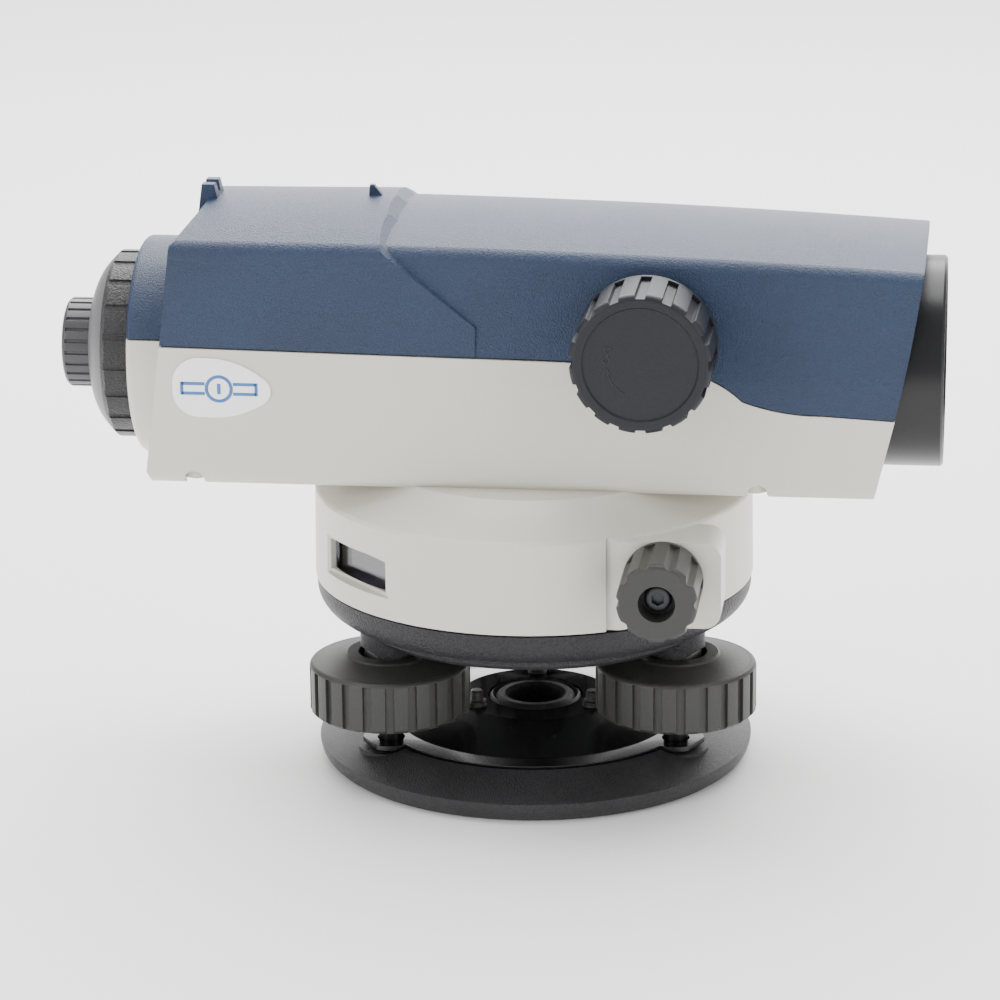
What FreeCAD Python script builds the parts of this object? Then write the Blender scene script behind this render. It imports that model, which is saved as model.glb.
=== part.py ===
"""Automatic level: a telescope with a compensator on a three-screw levelling base.

Frame: millimetres, +Z up, +X towards the objective, the origin where the
tripod thread's axis meets the flat underside of the base plate.
"""
import FreeCAD
import Part
import math
import os
import Sketcher

Vector = FreeCAD.Vector

DIMENSIONS = [
    # base plate, its socket pads and the tripod thread
    ("base_radius", 53.8), ("base_foot_radius", 51.4), ("base_crease", 4.8),
    ("base_rim_radius", 41.3), ("base_rim_top", 9.0), ("base_floor", 2.6),
    ("boss_radius", 11.5), ("boss_top", 14.0), ("tripod_bore", 6.8),
    ("foot_circle", 40.3), ("foot_turn", 5.0), ("pad_radius", 8.0), ("pad_top", 7.7),
    ("ball_radius", 3.8), ("ball_height", 6.5), ("socket_radius", 3.86),
    ("spring_sheet", 1.2), ("spring_low", 8.35), ("spring_high", 12.4),
    ("spring_hole", 3.4), ("stud_circle", 16.5), ("stud_radius", 1.5), ("stud_top", 17.6),
    # foot screws and their knobs
    ("neck_radius", 3.0), ("screw_radius", 4.0), ("screw_low", 13.0), ("screw_top", 35.0),
    ("foot_knob_radius", 19.6), ("foot_knob_low", 17.2), ("foot_knob_rim", 29.9),
    ("foot_collar_radius", 10.8), ("foot_collar_bore", 7.6), ("foot_collar_top", 32.0),
    ("foot_recess_floor", 23.4), ("foot_grooves", 22), ("foot_groove_width", 1.9),
    # tribrach, its bushes and the vertical spindle
    ("tribrach_radius", 45.6), ("tribrach_low", 35.6), ("tribrach_top", 38.3),
    ("tribrach_hub_radius", 23.5), ("tribrach_hub_low", 33.0),
    ("leg_radius", 7.1), ("leg_low", 27.2), ("leg_slope", 40.0), ("bush_radius", 6.2), ("bush_bore", 4.06),
    ("flange_radius", 14.0), ("flange_top", 40.6), ("seat_radius", 12.0), ("seat_top", 63.4),
    ("spindle_radius", 9.0), ("spindle_thread", 7.0), ("spindle_shoulder", 76.2),
    ("spindle_top", 79.6), ("bearing_gap", 0.05),
    # horizontal circle
    ("ring_low", 38.7), ("ring_radius", 53.6), ("ring_top", 46.8), ("ring_edge_radius", 47.4),
    ("ring_wall", 2.4), ("ring_floor", 41.2), ("ring_notches", 18),
    ("circle_outer", 50.1), ("circle_inner", 36.4), ("circle_low", 50.0), ("circle_high", 53.4),
    ("circle_sheet", 1.2), ("circle_foot", 41.2),
    # turret under the telescope
    ("turret_radius", 54.0), ("turret_low", 47.3), ("turret_rim", 70.0), ("turret_wall", 2.3),
    ("turret_roof", 66.6), ("turret_neck", 46.0), ("turret_head", 76.0),
    ("window_angle", -138.0), ("window_low", 52.6), ("window_high", 62.2),
    ("window_width", 26.4), ("window_margin", 2.4),
    # tangent drive
    ("worm_distance", 36.0), ("worm_height", 60.5), ("worm_radius", 3.2),
    ("worm_shaft", 2.5), ("worm_length", 18.0), ("wheel_gap", 0.2), ("wheel_teeth", 96),
    ("wheel_low", 58.0), ("wheel_high", 63.0), ("drive_boss", 47.5),
    ("drive_knob_radius", 9.5), ("drive_knob_near", 48.0), ("drive_knob_far", 67.0),
    ("drive_lobes", 10), ("drive_hole", 4.3),
    # telescope body and cover
    ("sight_height", 102.0), ("body_low", 75.2), ("body_half_width", 31.5),
    ("body_foot_half_width", 30.6), ("body_corner", 3.0), ("wall", 2.3),
    ("body_rear", -90.2), ("shoulder_half_width", 29.2), ("shoulder_height", 133.8),
    ("ridge_middle", 138.2), ("ridge_front", 132.7), ("front_top", 96.4),
    ("front_shoulder", 95.4), ("front_seam", 88.8), ("front_foot", 83.6),
    ("seam_rear", 109.6), ("seam_middle", 106.6), ("seam_front", 95.4), ("seam_gap", 0.25),
    ("hood_rise", 2.4), ("hood_side_rise", 1.3),
    ("collar_radius", 26.7), ("collar_rear", -95.4),
    # telescope
    ("tube_radius", 21.0), ("tube_bore", 19.4), ("tube_rear", -18.0), ("tube_front", 84.0),
    ("hood_radius", 25.4), ("hood_rear", 74.0), ("hood_front", 99.9), ("hood_bore", 22.6),
    ("lens_radius", 19.2), ("lens_opening", 18.0),
    # focusing
    ("focus_place", 31.0), ("focus_height", 113.6), ("focus_shaft", 3.0),
    ("focus_pinion", 2.5), ("focus_teeth", 12), ("focus_knob_near", 33.2),
    ("focus_knob_far", 53.4), ("focus_knob_radius", 16.6), ("focus_grooves", 16),
    ("focus_face_radius", 13.2), ("carriage_rear", 16.0), ("carriage_front", 46.0),
    ("carriage_gap", 0.08), ("focus_lens_radius", 11.0), ("rack_height", 8.9),
    # eyepiece
    ("eye_ring_radius", 23.0), ("eye_ring_rear", -102.6), ("cone_radius", 21.8),
    ("cone_tip_radius", 12.2), ("cone_rear", -107.6), ("eye_tube_radius", 10.4),
    ("eye_tube_bore", 8.5), ("eye_tube_rear", -103.4), ("eye_tube_front", -66.0),
    ("diopter_radius", 11.0), ("diopter_front", -105.2), ("diopter_rear", -114.8),
    ("diopter_ribs", 24), ("barrel_rear", -112.4), ("barrel_front", -82.0),
    ("eye_lens_radius", 6.6),
    # circular bubble
    ("vial_along", 0.0), ("vial_across", 42.2), ("vial_radius", 7.9), ("vial_low", 72.6),
    ("vial_high", 80.4), ("mirror_half", 8.0), ("mirror_middle", 90.5),
]


def make_sheet(document):
    """The spreadsheet that holds every driving dimension."""
    cells = document.addObject("Spreadsheet::Sheet", "dims")
    for row, (alias, value) in enumerate(DIMENSIONS, start=1):
        cells.set(f"A{row}", alias)
        cells.set(f"B{row}", str(value))
        cells.setAlias(f"B{row}", alias)
    document.recompute()
    return cells


doc = FreeCAD.newDocument("automatic_level")
sheet = make_sheet(doc)
pieces = []


def size(text):
    """The present value of an expression on the sheet; a plain number passes through."""
    value = sheet.evalExpression(expression(text))
    return float(getattr(value, "Value", value))


def expression(text):
    """Write bare aliases as references to the sheet."""
    words = str(text)
    for alias in sorted((name for name, _ in DIMENSIONS), key=len, reverse=True):
        words = words.replace(alias, "\0" + str(ORDER[alias]) + "\1")
    for alias, number in ORDER.items():
        words = words.replace("\0" + str(number) + "\1", "dims." + alias)
    return words


ORDER = {name: number for number, (name, _) in enumerate(DIMENSIONS)}


def bind(thing, **sizes):
    """Bind properties such as Radius or Height to expressions on the sheet."""
    for name, text in sizes.items():
        thing.setExpression(name, expression(text))


def place(thing, across=("0", "0", "0"), axis=(0, 0, 1), degrees="0"):
    """Turn a thing about an axis through its own origin and bind its position."""
    thing.Placement.Rotation = FreeCAD.Rotation(Vector(*axis), size(degrees))
    for letter, text in zip("xyz", across):
        if str(text) != "0":
            thing.setExpression("Placement.Base." + letter, expression(text))
    return thing


def keep(thing, node):
    """Label a finished sub-part, so that it is written out under that name."""
    thing.Label = node
    pieces.append(thing)
    return thing


# ---- profiles and bodies ----

def origin_plane(body, role):
    """One of a body's own origin planes."""
    return next(f for f in body.Origin.OriginFeatures if f.Role == role)


def point_at(pair):
    return Vector(size(pair[0]), size(pair[1]), 0)


def split_outline(points):
    """Turn corners and ("arc", x, y) middles into (start, middle or None, end) runs."""
    runs = []
    for index, entry in enumerate(points):
        if entry[0] == "arc":
            continue
        following = points[(index + 1) % len(points)]
        if following[0] == "arc":
            runs.append((entry, following[1:], points[(index + 2) % len(points)]))
        else:
            runs.append((entry, None, following))
    return runs


def bind_point(sketch, geometry, end, pair):
    """Tie a sketch point to its two coordinates on the sheet."""
    for kind, text in zip(("DistanceX", "DistanceY"), pair):
        number = sketch.addConstraint(
            Sketcher.Constraint(kind, -1, 1, geometry, end, size(text)))
        sketch.setExpression(f"Constraints[{number}]", expression(text))


def draw(sketch, points):
    """Draw a closed outline; every corner and arc middle is bound to the sheet."""
    runs = split_outline(points)
    edges = []
    starts = []
    for start, middle, end in runs:
        first, last = point_at(start), point_at(end)
        if middle is None:
            shape = Part.LineSegment(first, last)
        elif (point_at(middle) - first).cross(last - first).z > 0:
            shape = Part.Arc(first, point_at(middle), last)
        else:
            shape = Part.Arc(last, point_at(middle), first)
        edges.append(sketch.addGeometry(shape, False))
        drawn = sketch.Geometry[edges[-1]]
        starts.append(1 if (drawn.StartPoint - point_at(start)).Length < 1e-6 else 2)
    for index, edge in enumerate(edges):
        after = (index + 1) % len(edges)
        sketch.addConstraint(Sketcher.Constraint(
            "Coincident", edge, 3 - starts[index], edges[after], starts[after]))
    for edge, first, (start, middle, _) in zip(edges, starts, runs):
        bind_point(sketch, edge, first, start)
        if middle is not None:
            marker = sketch.addGeometry(Part.Point(point_at(middle)), True)
            bind_point(sketch, marker, 1, middle)
            sketch.addConstraint(Sketcher.Constraint("PointOnObject", marker, 1, edge))


def new_sketch(body, name, role, offset="0"):
    """A sketch on one of the body's own planes, moved along its normal."""
    sketch = body.newObject("Sketcher::SketchObject", name)
    sketch.AttachmentSupport = (origin_plane(body, role), [""])
    sketch.MapMode = "FlatFace"
    if str(offset) != "0":
        sketch.setExpression("AttachmentOffset.Base.z", expression(offset))
    return sketch


def turned(name, points):
    """A body turned about its own Z from an outline of (radius, height) corners."""
    body = doc.addObject("PartDesign::Body", name)
    sketch = new_sketch(body, name + "_outline", "XZ_Plane")
    draw(sketch, points)
    spin = body.newObject("PartDesign::Revolution", name + "_turn")
    spin.Profile = sketch
    spin.ReferenceAxis = (sketch, ["V_Axis"])
    spin.Angle = 360
    doc.recompute()
    return body


def slab(name, points, thickness, role="XZ_Plane", offset="0"):
    """A body padded both ways from an outline on one of its planes."""
    body = doc.addObject("PartDesign::Body", name)
    sketch = new_sketch(body, name + "_outline", role, offset)
    draw(sketch, points)
    pad = body.newObject("PartDesign::Pad", name + "_pad")
    pad.Profile = sketch
    pad.Midplane = True
    pad.setExpression("Length", expression(thickness))
    doc.recompute()
    return body


def fluted(body, points, count, low, depth):
    """Cut one flute from an outline on XY, from a height upwards, and repeat it round Z."""
    name = body.Name
    before = body.Shape.Volume
    sketch = new_sketch(body, name + "_flute", "XY_Plane", low)
    draw(sketch, points)
    cut = body.newObject("PartDesign::Pocket", name + "_flute_cut")
    cut.Profile = sketch
    cut.Reversed = True
    cut.setExpression("Length", expression(depth))
    doc.recompute()
    pattern = body.newObject("PartDesign::PolarPattern", name + "_flutes")
    pattern.Originals = [cut]
    pattern.Axis = (sketch, ["N_Axis"])
    pattern.Angle = 360
    pattern.setExpression("Occurrences", expression(count))
    body.Tip = pattern
    doc.recompute()
    if body.Shape.Volume >= before:
        raise RuntimeError(f"{name}: the flutes cut nothing")
    return body


# ---- primitives and booleans ----

def cylinder(name, radius, height, at=("0", "0", "0"), axis=(0, 0, 1), degrees="0"):
    rod = doc.addObject("Part::Cylinder", name)
    bind(rod, Radius=radius, Height=height)
    return place(rod, at, axis, degrees)


def ball(name, radius, at):
    sphere = doc.addObject("Part::Sphere", name)
    bind(sphere, Radius=radius)
    return place(sphere, at)


def block(name, length, width, height, at, axis=(0, 0, 1), degrees="0"):
    """A box whose position is that of its low corner."""
    box = doc.addObject("Part::Box", name)
    bind(box, Length=length, Width=width, Height=height)
    return place(box, at, axis, degrees)


def cut(name, base, *tools):
    """The base less each tool in turn."""
    for number, tool in enumerate(tools):
        step = doc.addObject("Part::Cut", f"{name}_{number}" if number else name)
        step.Base = base
        step.Tool = tool
        base = step
    doc.recompute()
    return base


def fuse(name, *shapes):
    union = doc.addObject("Part::MultiFuse", name)
    union.Shapes = list(shapes)
    union.Refine = True
    doc.recompute()
    return union


def common(name, *shapes):
    overlap = doc.addObject("Part::MultiCommon", name)
    overlap.Shapes = list(shapes)
    doc.recompute()
    return overlap


def group(name, members):
    """Several separate solids that share one node."""
    bundle = doc.addObject("Part::Compound", name)
    bundle.Links = list(members)
    doc.recompute()
    return bundle


def polar(radius, degrees):
    """Expressions for a point on a circle about the vertical axis."""
    return f"({radius}) * cos({degrees})", f"({radius}) * sin({degrees})"


def rounded(name, base, radius, chosen):
    """Fillet the edges of a base that a test picks."""
    doc.recompute()
    fillet = doc.addObject("Part::Fillet", name)
    fillet.Base = base
    amount = size(radius)
    fillet.Edges = [(number, amount, amount)
                    for number, edge in enumerate(base.Shape.Edges, start=1) if chosen(edge)]
    doc.recompute()
    return fillet


def disc_lens(name, radius, middle, bulge, along, height="sight_height"):
    """A biconvex lens on the telescope axis: a disc within two spheres."""
    reach = f"({radius} * {radius} + {bulge} * {bulge}) / (2 * {bulge})"
    half = f"({middle}) / 2"
    blank = cylinder(name + "_blank", radius, middle,
                     (f"{along} - {half}", "0", height), (0, 1, 0), 90)
    left = ball(name + "_front", reach, (f"{along} + {half} - {reach}", "0", height))
    right = ball(name + "_back", reach, (f"{along} - {half} + {reach}", "0", height))
    return common(name, blank, left, right)


FOOT_ANGLES = {"left": "foot_turn + 210", "right": "foot_turn + 330", "rear": "foot_turn + 90"}
TELESCOPE = dict(axis=(0, 1, 0), degrees=90)


def along_sight(body):
    """Lay a body turned about Z along the telescope axis, its Z now +X."""
    return place(body, ("0", "0", "sight_height"), (0, 1, 0), 90)


# ---- base plate, spring plate and foot screws ----

def base_plate():
    """Cast dish: bevelled rim, floor, tripod boss and three ball sockets."""
    dish = turned("base_dish", [
        ("tripod_bore", "0"), ("base_foot_radius", "0"),
        ("arc", "base_radius - 0.9", "base_crease * 0.3"),
        ("base_radius", "base_crease"), ("base_rim_radius", "base_rim_top"),
        ("base_rim_radius - 0.5", "base_floor"), ("boss_radius", "base_floor"),
        ("boss_radius", "boss_top - 0.8"), ("boss_radius - 0.8", "boss_top"),
        ("boss_radius - 1.6", "boss_top - 0.7"), ("boss_radius - 2.4", "boss_top"),
        ("tripod_bore + 0.8", "boss_top"), ("tripod_bore", "boss_top - 0.8")])
    added = [dish]
    removed = []
    for side, angle in FOOT_ANGLES.items():
        across = polar("foot_circle", angle)
        added.append(cylinder(f"pad_{side}", "pad_radius", "pad_top - 1", (*across, "1")))
        removed.append(cylinder(f"seat_{side}", "pad_radius - 0.2", "4", (*across, "pad_top")))
        removed.append(ball(f"socket_{side}", "socket_radius", (*across, "ball_height")))
        post = polar("stud_circle", angle)
        added.append(cylinder(f"post_{side}", "3", "spring_high - 1.8", (*post, "1")))
        removed.append(cylinder(f"tapped_{side}", "stud_radius", "20", (*post, "1.5")))
    keep(cut("base_plate_cut", fuse("base_casting", *added), *removed), "base_plate")


def spring_plate():
    """Pressed steel spring that holds the three ball ends down in their sockets."""
    low = "spring_low"
    high = "spring_high"
    shell = turned("spring_cone", [
        ("boss_radius + 0.3", high), ("boss_radius + 7", high), ("35", low),
        ("foot_circle + 6", low), ("foot_circle + 6", f"{low} + spring_sheet"),
        ("35.3", f"{low} + spring_sheet"), ("boss_radius + 7.2", f"{high} + spring_sheet"),
        ("boss_radius + 0.3", f"{high} + spring_sheet")])
    limits = [cylinder("spring_field", "base_rim_radius - 0.8", "20")]
    holes = []
    for side, angle in FOOT_ANGLES.items():
        across = polar("foot_circle", angle)
        limits.append(cylinder(f"spring_tab_{side}", "pad_radius - 1", "20", (*across, "0")))
        holes.append(cylinder(f"neck_hole_{side}", "spring_hole", "20", (*across, "0")))
        post = polar("stud_circle", angle)
        holes.append(cylinder(f"stud_hole_{side}", "stud_radius + 0.1", "20", (*post, "0")))
    sheet_metal = common("spring_sheet_metal", shell, fuse("spring_limits", *limits))
    keep(cut("spring_plate_cut", sheet_metal, *holes), "spring_plate")


def spring_plate_studs():
    """Three shouldered studs that clamp the spring plate to its posts."""
    studs = []
    under = "spring_high + spring_sheet"
    for side, angle in FOOT_ANGLES.items():
        stud = turned(f"stud_{side}", [
            ("0", "2"), ("stud_radius", "2"), ("stud_radius", under),
            ("stud_radius + 0.9", under), ("stud_radius + 0.9", f"{under} + 1.2"),
            ("stud_radius", f"{under} + 1.4"), ("stud_radius", "stud_top - 0.3"),
            ("stud_radius - 0.3", "stud_top"), ("0", "stud_top")])
        studs.append(place(stud, (*polar("stud_circle", angle), "0")))
    keep(group("spring_studs_all", studs), "spring_plate_studs")


def foot_screw(side, angle):
    """Steel levelling screw with its ball end, and the moulded knob pressed on it."""
    across = (*polar("foot_circle", angle), "0")
    stem = turned(f"foot_stem_{side}", [
        ("0", "ball_height - ball_radius"), ("arc", "ball_radius", "ball_height"),
        ("neck_radius", "ball_height + sqrt(ball_radius * ball_radius"
                        " - neck_radius * neck_radius)"),
        ("neck_radius", "screw_low"), ("screw_radius", "screw_low + 1"),
        ("screw_radius", "screw_top - 0.6"), ("screw_radius - 0.6", "screw_top"),
        ("0", "screw_top")])
    keep(place(stem, across), f"foot_screw_{side}")
    knob = turned(f"foot_grip_{side}", [
        ("screw_radius", "foot_knob_low + 1"), ("8.6", "foot_knob_low + 1"),
        ("8.9", "foot_knob_rim - 3"), ("16.2", "foot_knob_rim - 3"),
        ("16.6", "foot_knob_low"), ("foot_knob_radius - 0.8", "foot_knob_low"),
        ("foot_knob_radius", "foot_knob_low + 0.8"),
        ("foot_knob_radius", "foot_knob_rim - 1.1"),
        ("arc", "foot_knob_radius - 0.4", "foot_knob_rim - 0.35"),
        ("foot_knob_radius - 1.5", "foot_knob_rim"),
        ("foot_collar_radius + 1.6", "foot_knob_rim + 1.2"),
        ("foot_collar_radius", "foot_collar_top - 0.5"),
        ("foot_collar_radius - 0.5", "foot_collar_top"),
        ("foot_collar_bore", "foot_collar_top"), ("foot_collar_bore", "foot_recess_floor"),
        ("screw_radius", "foot_recess_floor")])
    half = "foot_groove_width / 2"
    fluted(knob, [
        ("foot_knob_radius - 0.9", f"-({half})"), ("foot_knob_radius + 1", f"-({half}) - 0.3"),
        ("foot_knob_radius + 1", f"{half} + 0.3"), ("foot_knob_radius - 0.9", half)],
        "foot_grooves", "foot_knob_low - 1", "foot_knob_rim - foot_knob_low + 0.1")
    keep(place(knob, across), f"foot_knob_{side}")


# ---- tribrach, spindle and horizontal circle ----

def leg_relief(side, angle):
    """Sloping cut on the outer face of a leg, which bares the steel bush inside it."""
    tool = block(f"leg_relief_{side}", "14", "20", "14", ("0", "0", "0"))
    turn = FreeCAD.Rotation(Vector(0, 0, 1), size(angle))
    tilt = turn * FreeCAD.Rotation(Vector(0, 1, 0), -size("leg_slope"))
    start = turn.multVec(Vector(size("foot_circle + 1.5"), 0, size("leg_low + 2")))
    tool.Placement = FreeCAD.Placement(start + tilt.multVec(Vector(0, -10, -14)), tilt)
    return tool


def tribrach():
    """Cast plate with three legs that ride on the foot screws."""
    plate = turned("tribrach_plate", [
        ("seat_radius - 3", "tribrach_hub_low"), ("tribrach_hub_radius", "tribrach_hub_low"),
        ("tribrach_hub_radius + 1.5", "tribrach_low"),
        ("tribrach_radius - 1", "tribrach_low"), ("tribrach_radius", "tribrach_low + 1"),
        ("tribrach_radius", "tribrach_top"), ("seat_radius - 3", "tribrach_top")])
    added = [plate]
    removed = []
    bushes = []
    for side, angle in FOOT_ANGLES.items():
        across = polar("foot_circle", angle)
        leg = turned(f"leg_{side}", [
            ("0", "leg_low"), ("leg_radius - 0.6", "leg_low"), ("leg_radius", "leg_low + 0.6"),
            ("leg_radius", "tribrach_top"), ("0", "tribrach_top")])
        place(leg, (*across, "0"))
        added.append(cut(f"leg_trimmed_{side}", leg, leg_relief(side, angle)))
        removed.append(cylinder(f"leg_bore_{side}", "bush_radius", "30", (*across, "20")))
        bush = turned(f"bush_{side}", [
            ("bush_bore", "leg_low"), ("bush_radius", "leg_low"),
            ("bush_radius", "tribrach_top - 0.3"), ("bush_bore", "tribrach_top - 0.3")])
        bushes.append(place(bush, (*across, "0")))
    for number in range(3):
        across = polar("flange_radius - 3", f"foot_turn + {30 + 120 * number}")
        removed.append(cylinder(f"spindle_screw_hole_{number}", "1.6", "20", (*across, "30")))
    keep(cut("tribrach_cut", fuse("tribrach_casting", *added), *removed), "tribrach")
    keep(group("foot_bushes_all", bushes), "foot_bushes")


def centre_spindle():
    """Steel vertical axis bolted to the tribrach, with the nut that holds the alidade."""
    spindle = turned("spindle_turning", [
        ("0", "tribrach_top - 3"), ("seat_radius - 3", "tribrach_top - 3"),
        ("seat_radius - 3", "tribrach_top"), ("flange_radius", "tribrach_top"),
        ("flange_radius", "flange_top"), ("seat_radius", "flange_top"),
        ("seat_radius", "seat_top"), ("spindle_radius", "seat_top"),
        ("spindle_radius", "spindle_shoulder"), ("spindle_thread", "spindle_shoulder"),
        ("spindle_thread", "spindle_top"), ("0", "spindle_top")])
    holes = []
    screws = []
    for number in range(3):
        across = polar("flange_radius - 3", f"foot_turn + {30 + 120 * number}")
        holes.append(cylinder(f"spindle_tap_{number}", "1.5", "6", (*across, "37")))
        screw = turned(f"spindle_screw_{number}", [
            ("0", "tribrach_hub_low - 2"), ("2.4", "tribrach_hub_low - 2"),
            ("2.8", "tribrach_hub_low - 1.5"), ("2.8", "tribrach_hub_low"),
            ("1.5", "tribrach_hub_low"), ("1.5", "flange_top"), ("0", "flange_top")])
        screws.append(place(screw, (*across, "0")))
    keep(cut("spindle_cut", spindle, *holes), "centre_spindle")
    keep(group("spindle_screws_all", screws), "spindle_screws")
    nut = turned("spindle_nut_turning", [
        ("spindle_thread", "spindle_shoulder"), ("11.6", "spindle_shoulder"),
        ("11.6", "spindle_top - 0.6"), ("11", "spindle_top"), ("spindle_thread", "spindle_top")])
    keep(nut, "spindle_nut")


def circle_ring():
    """Black setting ring: a shallow bowl turned by hand to zero the circle."""
    bowl = turned("circle_bowl", [
        ("flange_radius + bearing_gap", "ring_low"), ("ring_edge_radius", "ring_low"),
        ("arc", "ring_radius - 2.2", "ring_low + 1.55"),
        ("ring_radius", "ring_top - 1.8"), ("ring_radius", "ring_top"),
        ("ring_radius - ring_wall", "ring_top"), ("ring_radius - ring_wall", "ring_floor + 1.4"),
        ("ring_radius - ring_wall - 2", "ring_floor"),
        ("flange_radius + bearing_gap", "ring_floor")])
    fluted(bowl, [
        ("ring_edge_radius + 3.4", "-1.6"), ("ring_radius + 3", "-2"),
        ("ring_radius + 3", "2"), ("ring_edge_radius + 3.4", "1.6")],
        "ring_notches", "ring_low - 1", "2.3")
    keep(bowl, "circle_ring")


def graduated_circle():
    """Conical graduated scale on a skirt that stands on the setting ring's floor."""
    scale = turned("circle_scale", [
        ("circle_inner", "circle_foot"), ("circle_inner + 5", "circle_foot"),
        ("circle_inner + 5", "circle_foot + 1.2"), ("circle_inner + 1.2", "circle_foot + 1.2"),
        ("circle_inner + 1.2", "circle_high - circle_sheet - 0.4"),
        ("circle_outer", "circle_low - circle_sheet"), ("circle_outer", "circle_low"),
        ("circle_inner", "circle_high")])
    keep(scale, "graduated_circle")


# ---- lower housing: turret and telescope trough ----

def side_face(name, points, width):
    """A slab seen from the side, as wide as the whole body."""
    return slab(name, points, width)


def seam_points(shift):
    """The joint line between cover and housing, from the rear to the slanted front."""
    return [
        ("body_rear - 12", f"seam_rear + {shift}"), ("11", f"seam_rear - 1.5 + {shift}"),
        ("33", f"seam_middle + {shift}"),
        ("arc", "45", f"seam_middle - 1.9 + {shift}"),
        ("53", f"seam_middle - 7.2 + {shift}"),
        ("arc", "60", f"seam_front + 2 + {shift}"),
        ("72", f"seam_front + 0.9 + {shift}"), ("100", f"seam_front - 1.5 + {shift}")]


def trough_section(name, inset, along, length, drop="0"):
    """Body cross-section below the shoulder, as a prism along X with rounded lower edges."""
    low = f"body_low + {inset} + {drop}"
    foot = f"body_foot_half_width - {inset}"
    side = f"body_half_width - {inset}"
    corner = f"(body_corner - {inset})" if size(inset) < size("body_corner") else "0.6"
    tuck = f"{corner} * 0.293"
    body = doc.addObject("PartDesign::Body", name)
    sketch = new_sketch(body, name + "_outline", "YZ_Plane", along)
    draw(sketch, [
        (f"-({foot}) + {corner}", low), (f"{foot} - {corner}", low),
        ("arc", f"{foot} - {tuck}", f"{low} + {tuck}"),
        (foot, f"{low} + {corner}"), (side, "sight_height"), (side, "sight_height + 12"),
        (f"-({side})", "sight_height + 12"), (f"-({side})", "sight_height"),
        (f"-({foot})", f"{low} + {corner}"),
        ("arc", f"-({foot}) + {tuck}", f"{low} + {tuck}")])
    pad = body.newObject("PartDesign::Pad", name + "_pad")
    pad.Profile = sketch
    pad.setExpression("Length", expression(length))
    doc.recompute()
    return body


def turret_solid():
    """Round turret whose sloped shoulder runs into the trough above it."""
    return turned("turret_turning", [
        ("turret_radius - turret_wall", "turret_low"), ("turret_radius - 0.1", "turret_low"),
        ("turret_radius", "turret_low + 0.4"), ("turret_radius - 0.3", "turret_rim - 1"),
        ("arc", "turret_radius - 0.6", "turret_rim - 0.3"),
        ("turret_radius - 1.3", "turret_rim"),
        ("arc", "turret_neck - 0.6", "turret_rim + 2.2"),
        ("turret_neck - 7", "turret_head"), ("seat_radius + 0.6", "turret_head"),
        ("seat_radius + 0.6", "seat_top + 0.6"), ("seat_radius + 4", "seat_top + 0.6"),
        ("seat_radius + 5", "turret_roof"),
        ("turret_radius - turret_wall - 5", "turret_roof"),
        ("turret_radius - turret_wall", "turret_roof - 4")])


def drive_boss(side):
    """Flat-faced boss that carries one end of the worm shaft."""
    sign = "-" if side < 0 else ""
    name = "near" if side < 0 else "far"
    face = "drive_boss"
    low = f"-({face})" if side < 0 else "drive_boss - 15"
    pad = block(f"drive_pad_{name}", "27", "15", "21",
                ("worm_distance - 13.5", low, "turret_low + 1"))
    soft = rounded(f"drive_pad_soft_{name}", pad, "4",
                   lambda e: abs(e.BoundBox.YLength - 15) < 0.1)
    well = cylinder(f"drive_pad_well_{name}", "turret_radius - turret_wall", "40",
                    ("0", "0", "turret_low - 5"))
    trimmed = cut(f"drive_pad_trimmed_{name}", soft, well)
    flat_low = f"-({face}) - 14" if side < 0 else face
    relief = block(f"drive_flat_{name}", "34", "14", "30",
                   ("worm_distance - 13.4", flat_low, "turret_low - 1"))
    start = f"{sign}(drive_boss + 2)"
    bore = cylinder(f"drive_bore_{name}", "4.5", "22",
                    ("worm_distance", start, "worm_height"), (1, 0, 0), -90 if side < 0 else 90)
    return trimmed, relief, bore


def window_cutters():
    """The sloped recess and the through slot of the circle window."""
    turn = "window_angle"
    middle = "(window_low + window_high) / 2"
    tall = "window_high - window_low"
    reach = "turret_radius"
    recess = slab("window_recess", [
        (f"{reach} - 2.2", f"-(window_width) / 2 + 1.2"), (f"{reach} - 2.2", "window_width / 2"),
        (f"{reach} + 3", "window_width / 2 + window_margin + 2"),
        (f"{reach} + 3", f"-(window_width) / 2 - window_margin - 3")],
        tall, "XY_Plane")
    place(recess, ("0", "0", middle), (0, 0, 1), turn)
    slot = slab("window_slot", [
        (f"{reach} - 9", "-(window_width) / 2 + 1.2"), (f"{reach} - 9", "window_width / 2 - 1.2"),
        (f"{reach}", "window_width / 2 - 1.2"), (f"{reach}", "-(window_width) / 2 + 1.2")],
        f"{tall} - 2", "XY_Plane")
    place(slot, ("0", "0", middle), (0, 0, 1), turn)
    pane = slab("window_pane_body", [
        (f"{reach} - 5.9", "-(window_width) / 2 - 0.3"),
        (f"{reach} - 5.9", "window_width / 2 + 0.3"),
        (f"{reach} - 4.6", "window_width / 2 + 0.3"),
        (f"{reach} - 4.6", "-(window_width) / 2 - 0.3")],
        f"{tall} + 1.5", "XY_Plane")
    keep(place(pane, ("0", "0", middle), (0, 0, 1), turn), "circle_window")
    return recess, slot


def label_solid(name):
    """Drop-shaped outline of the label, as thick as the recess that takes it."""
    disc = slab(name, [
        ("-82.8", "sight_height - 2.2"), ("arc", "-80.9", "sight_height + 3.4"),
        ("-75.5", "sight_height + 5.1"), ("arc", "-66.4", "sight_height + 3.6"),
        ("-60.7", "sight_height + 0.2"), ("arc", "-59.1", "sight_height - 2.8"),
        ("-60.7", "sight_height - 5.8"), ("arc", "-66.4", "sight_height - 8.5"),
        ("-75.5", "sight_height - 9.4"), ("arc", "-80.9", "sight_height - 7.7")], "0.8")
    return place(disc, ("0", "-(body_half_width) - 0.05", "0"))


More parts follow.
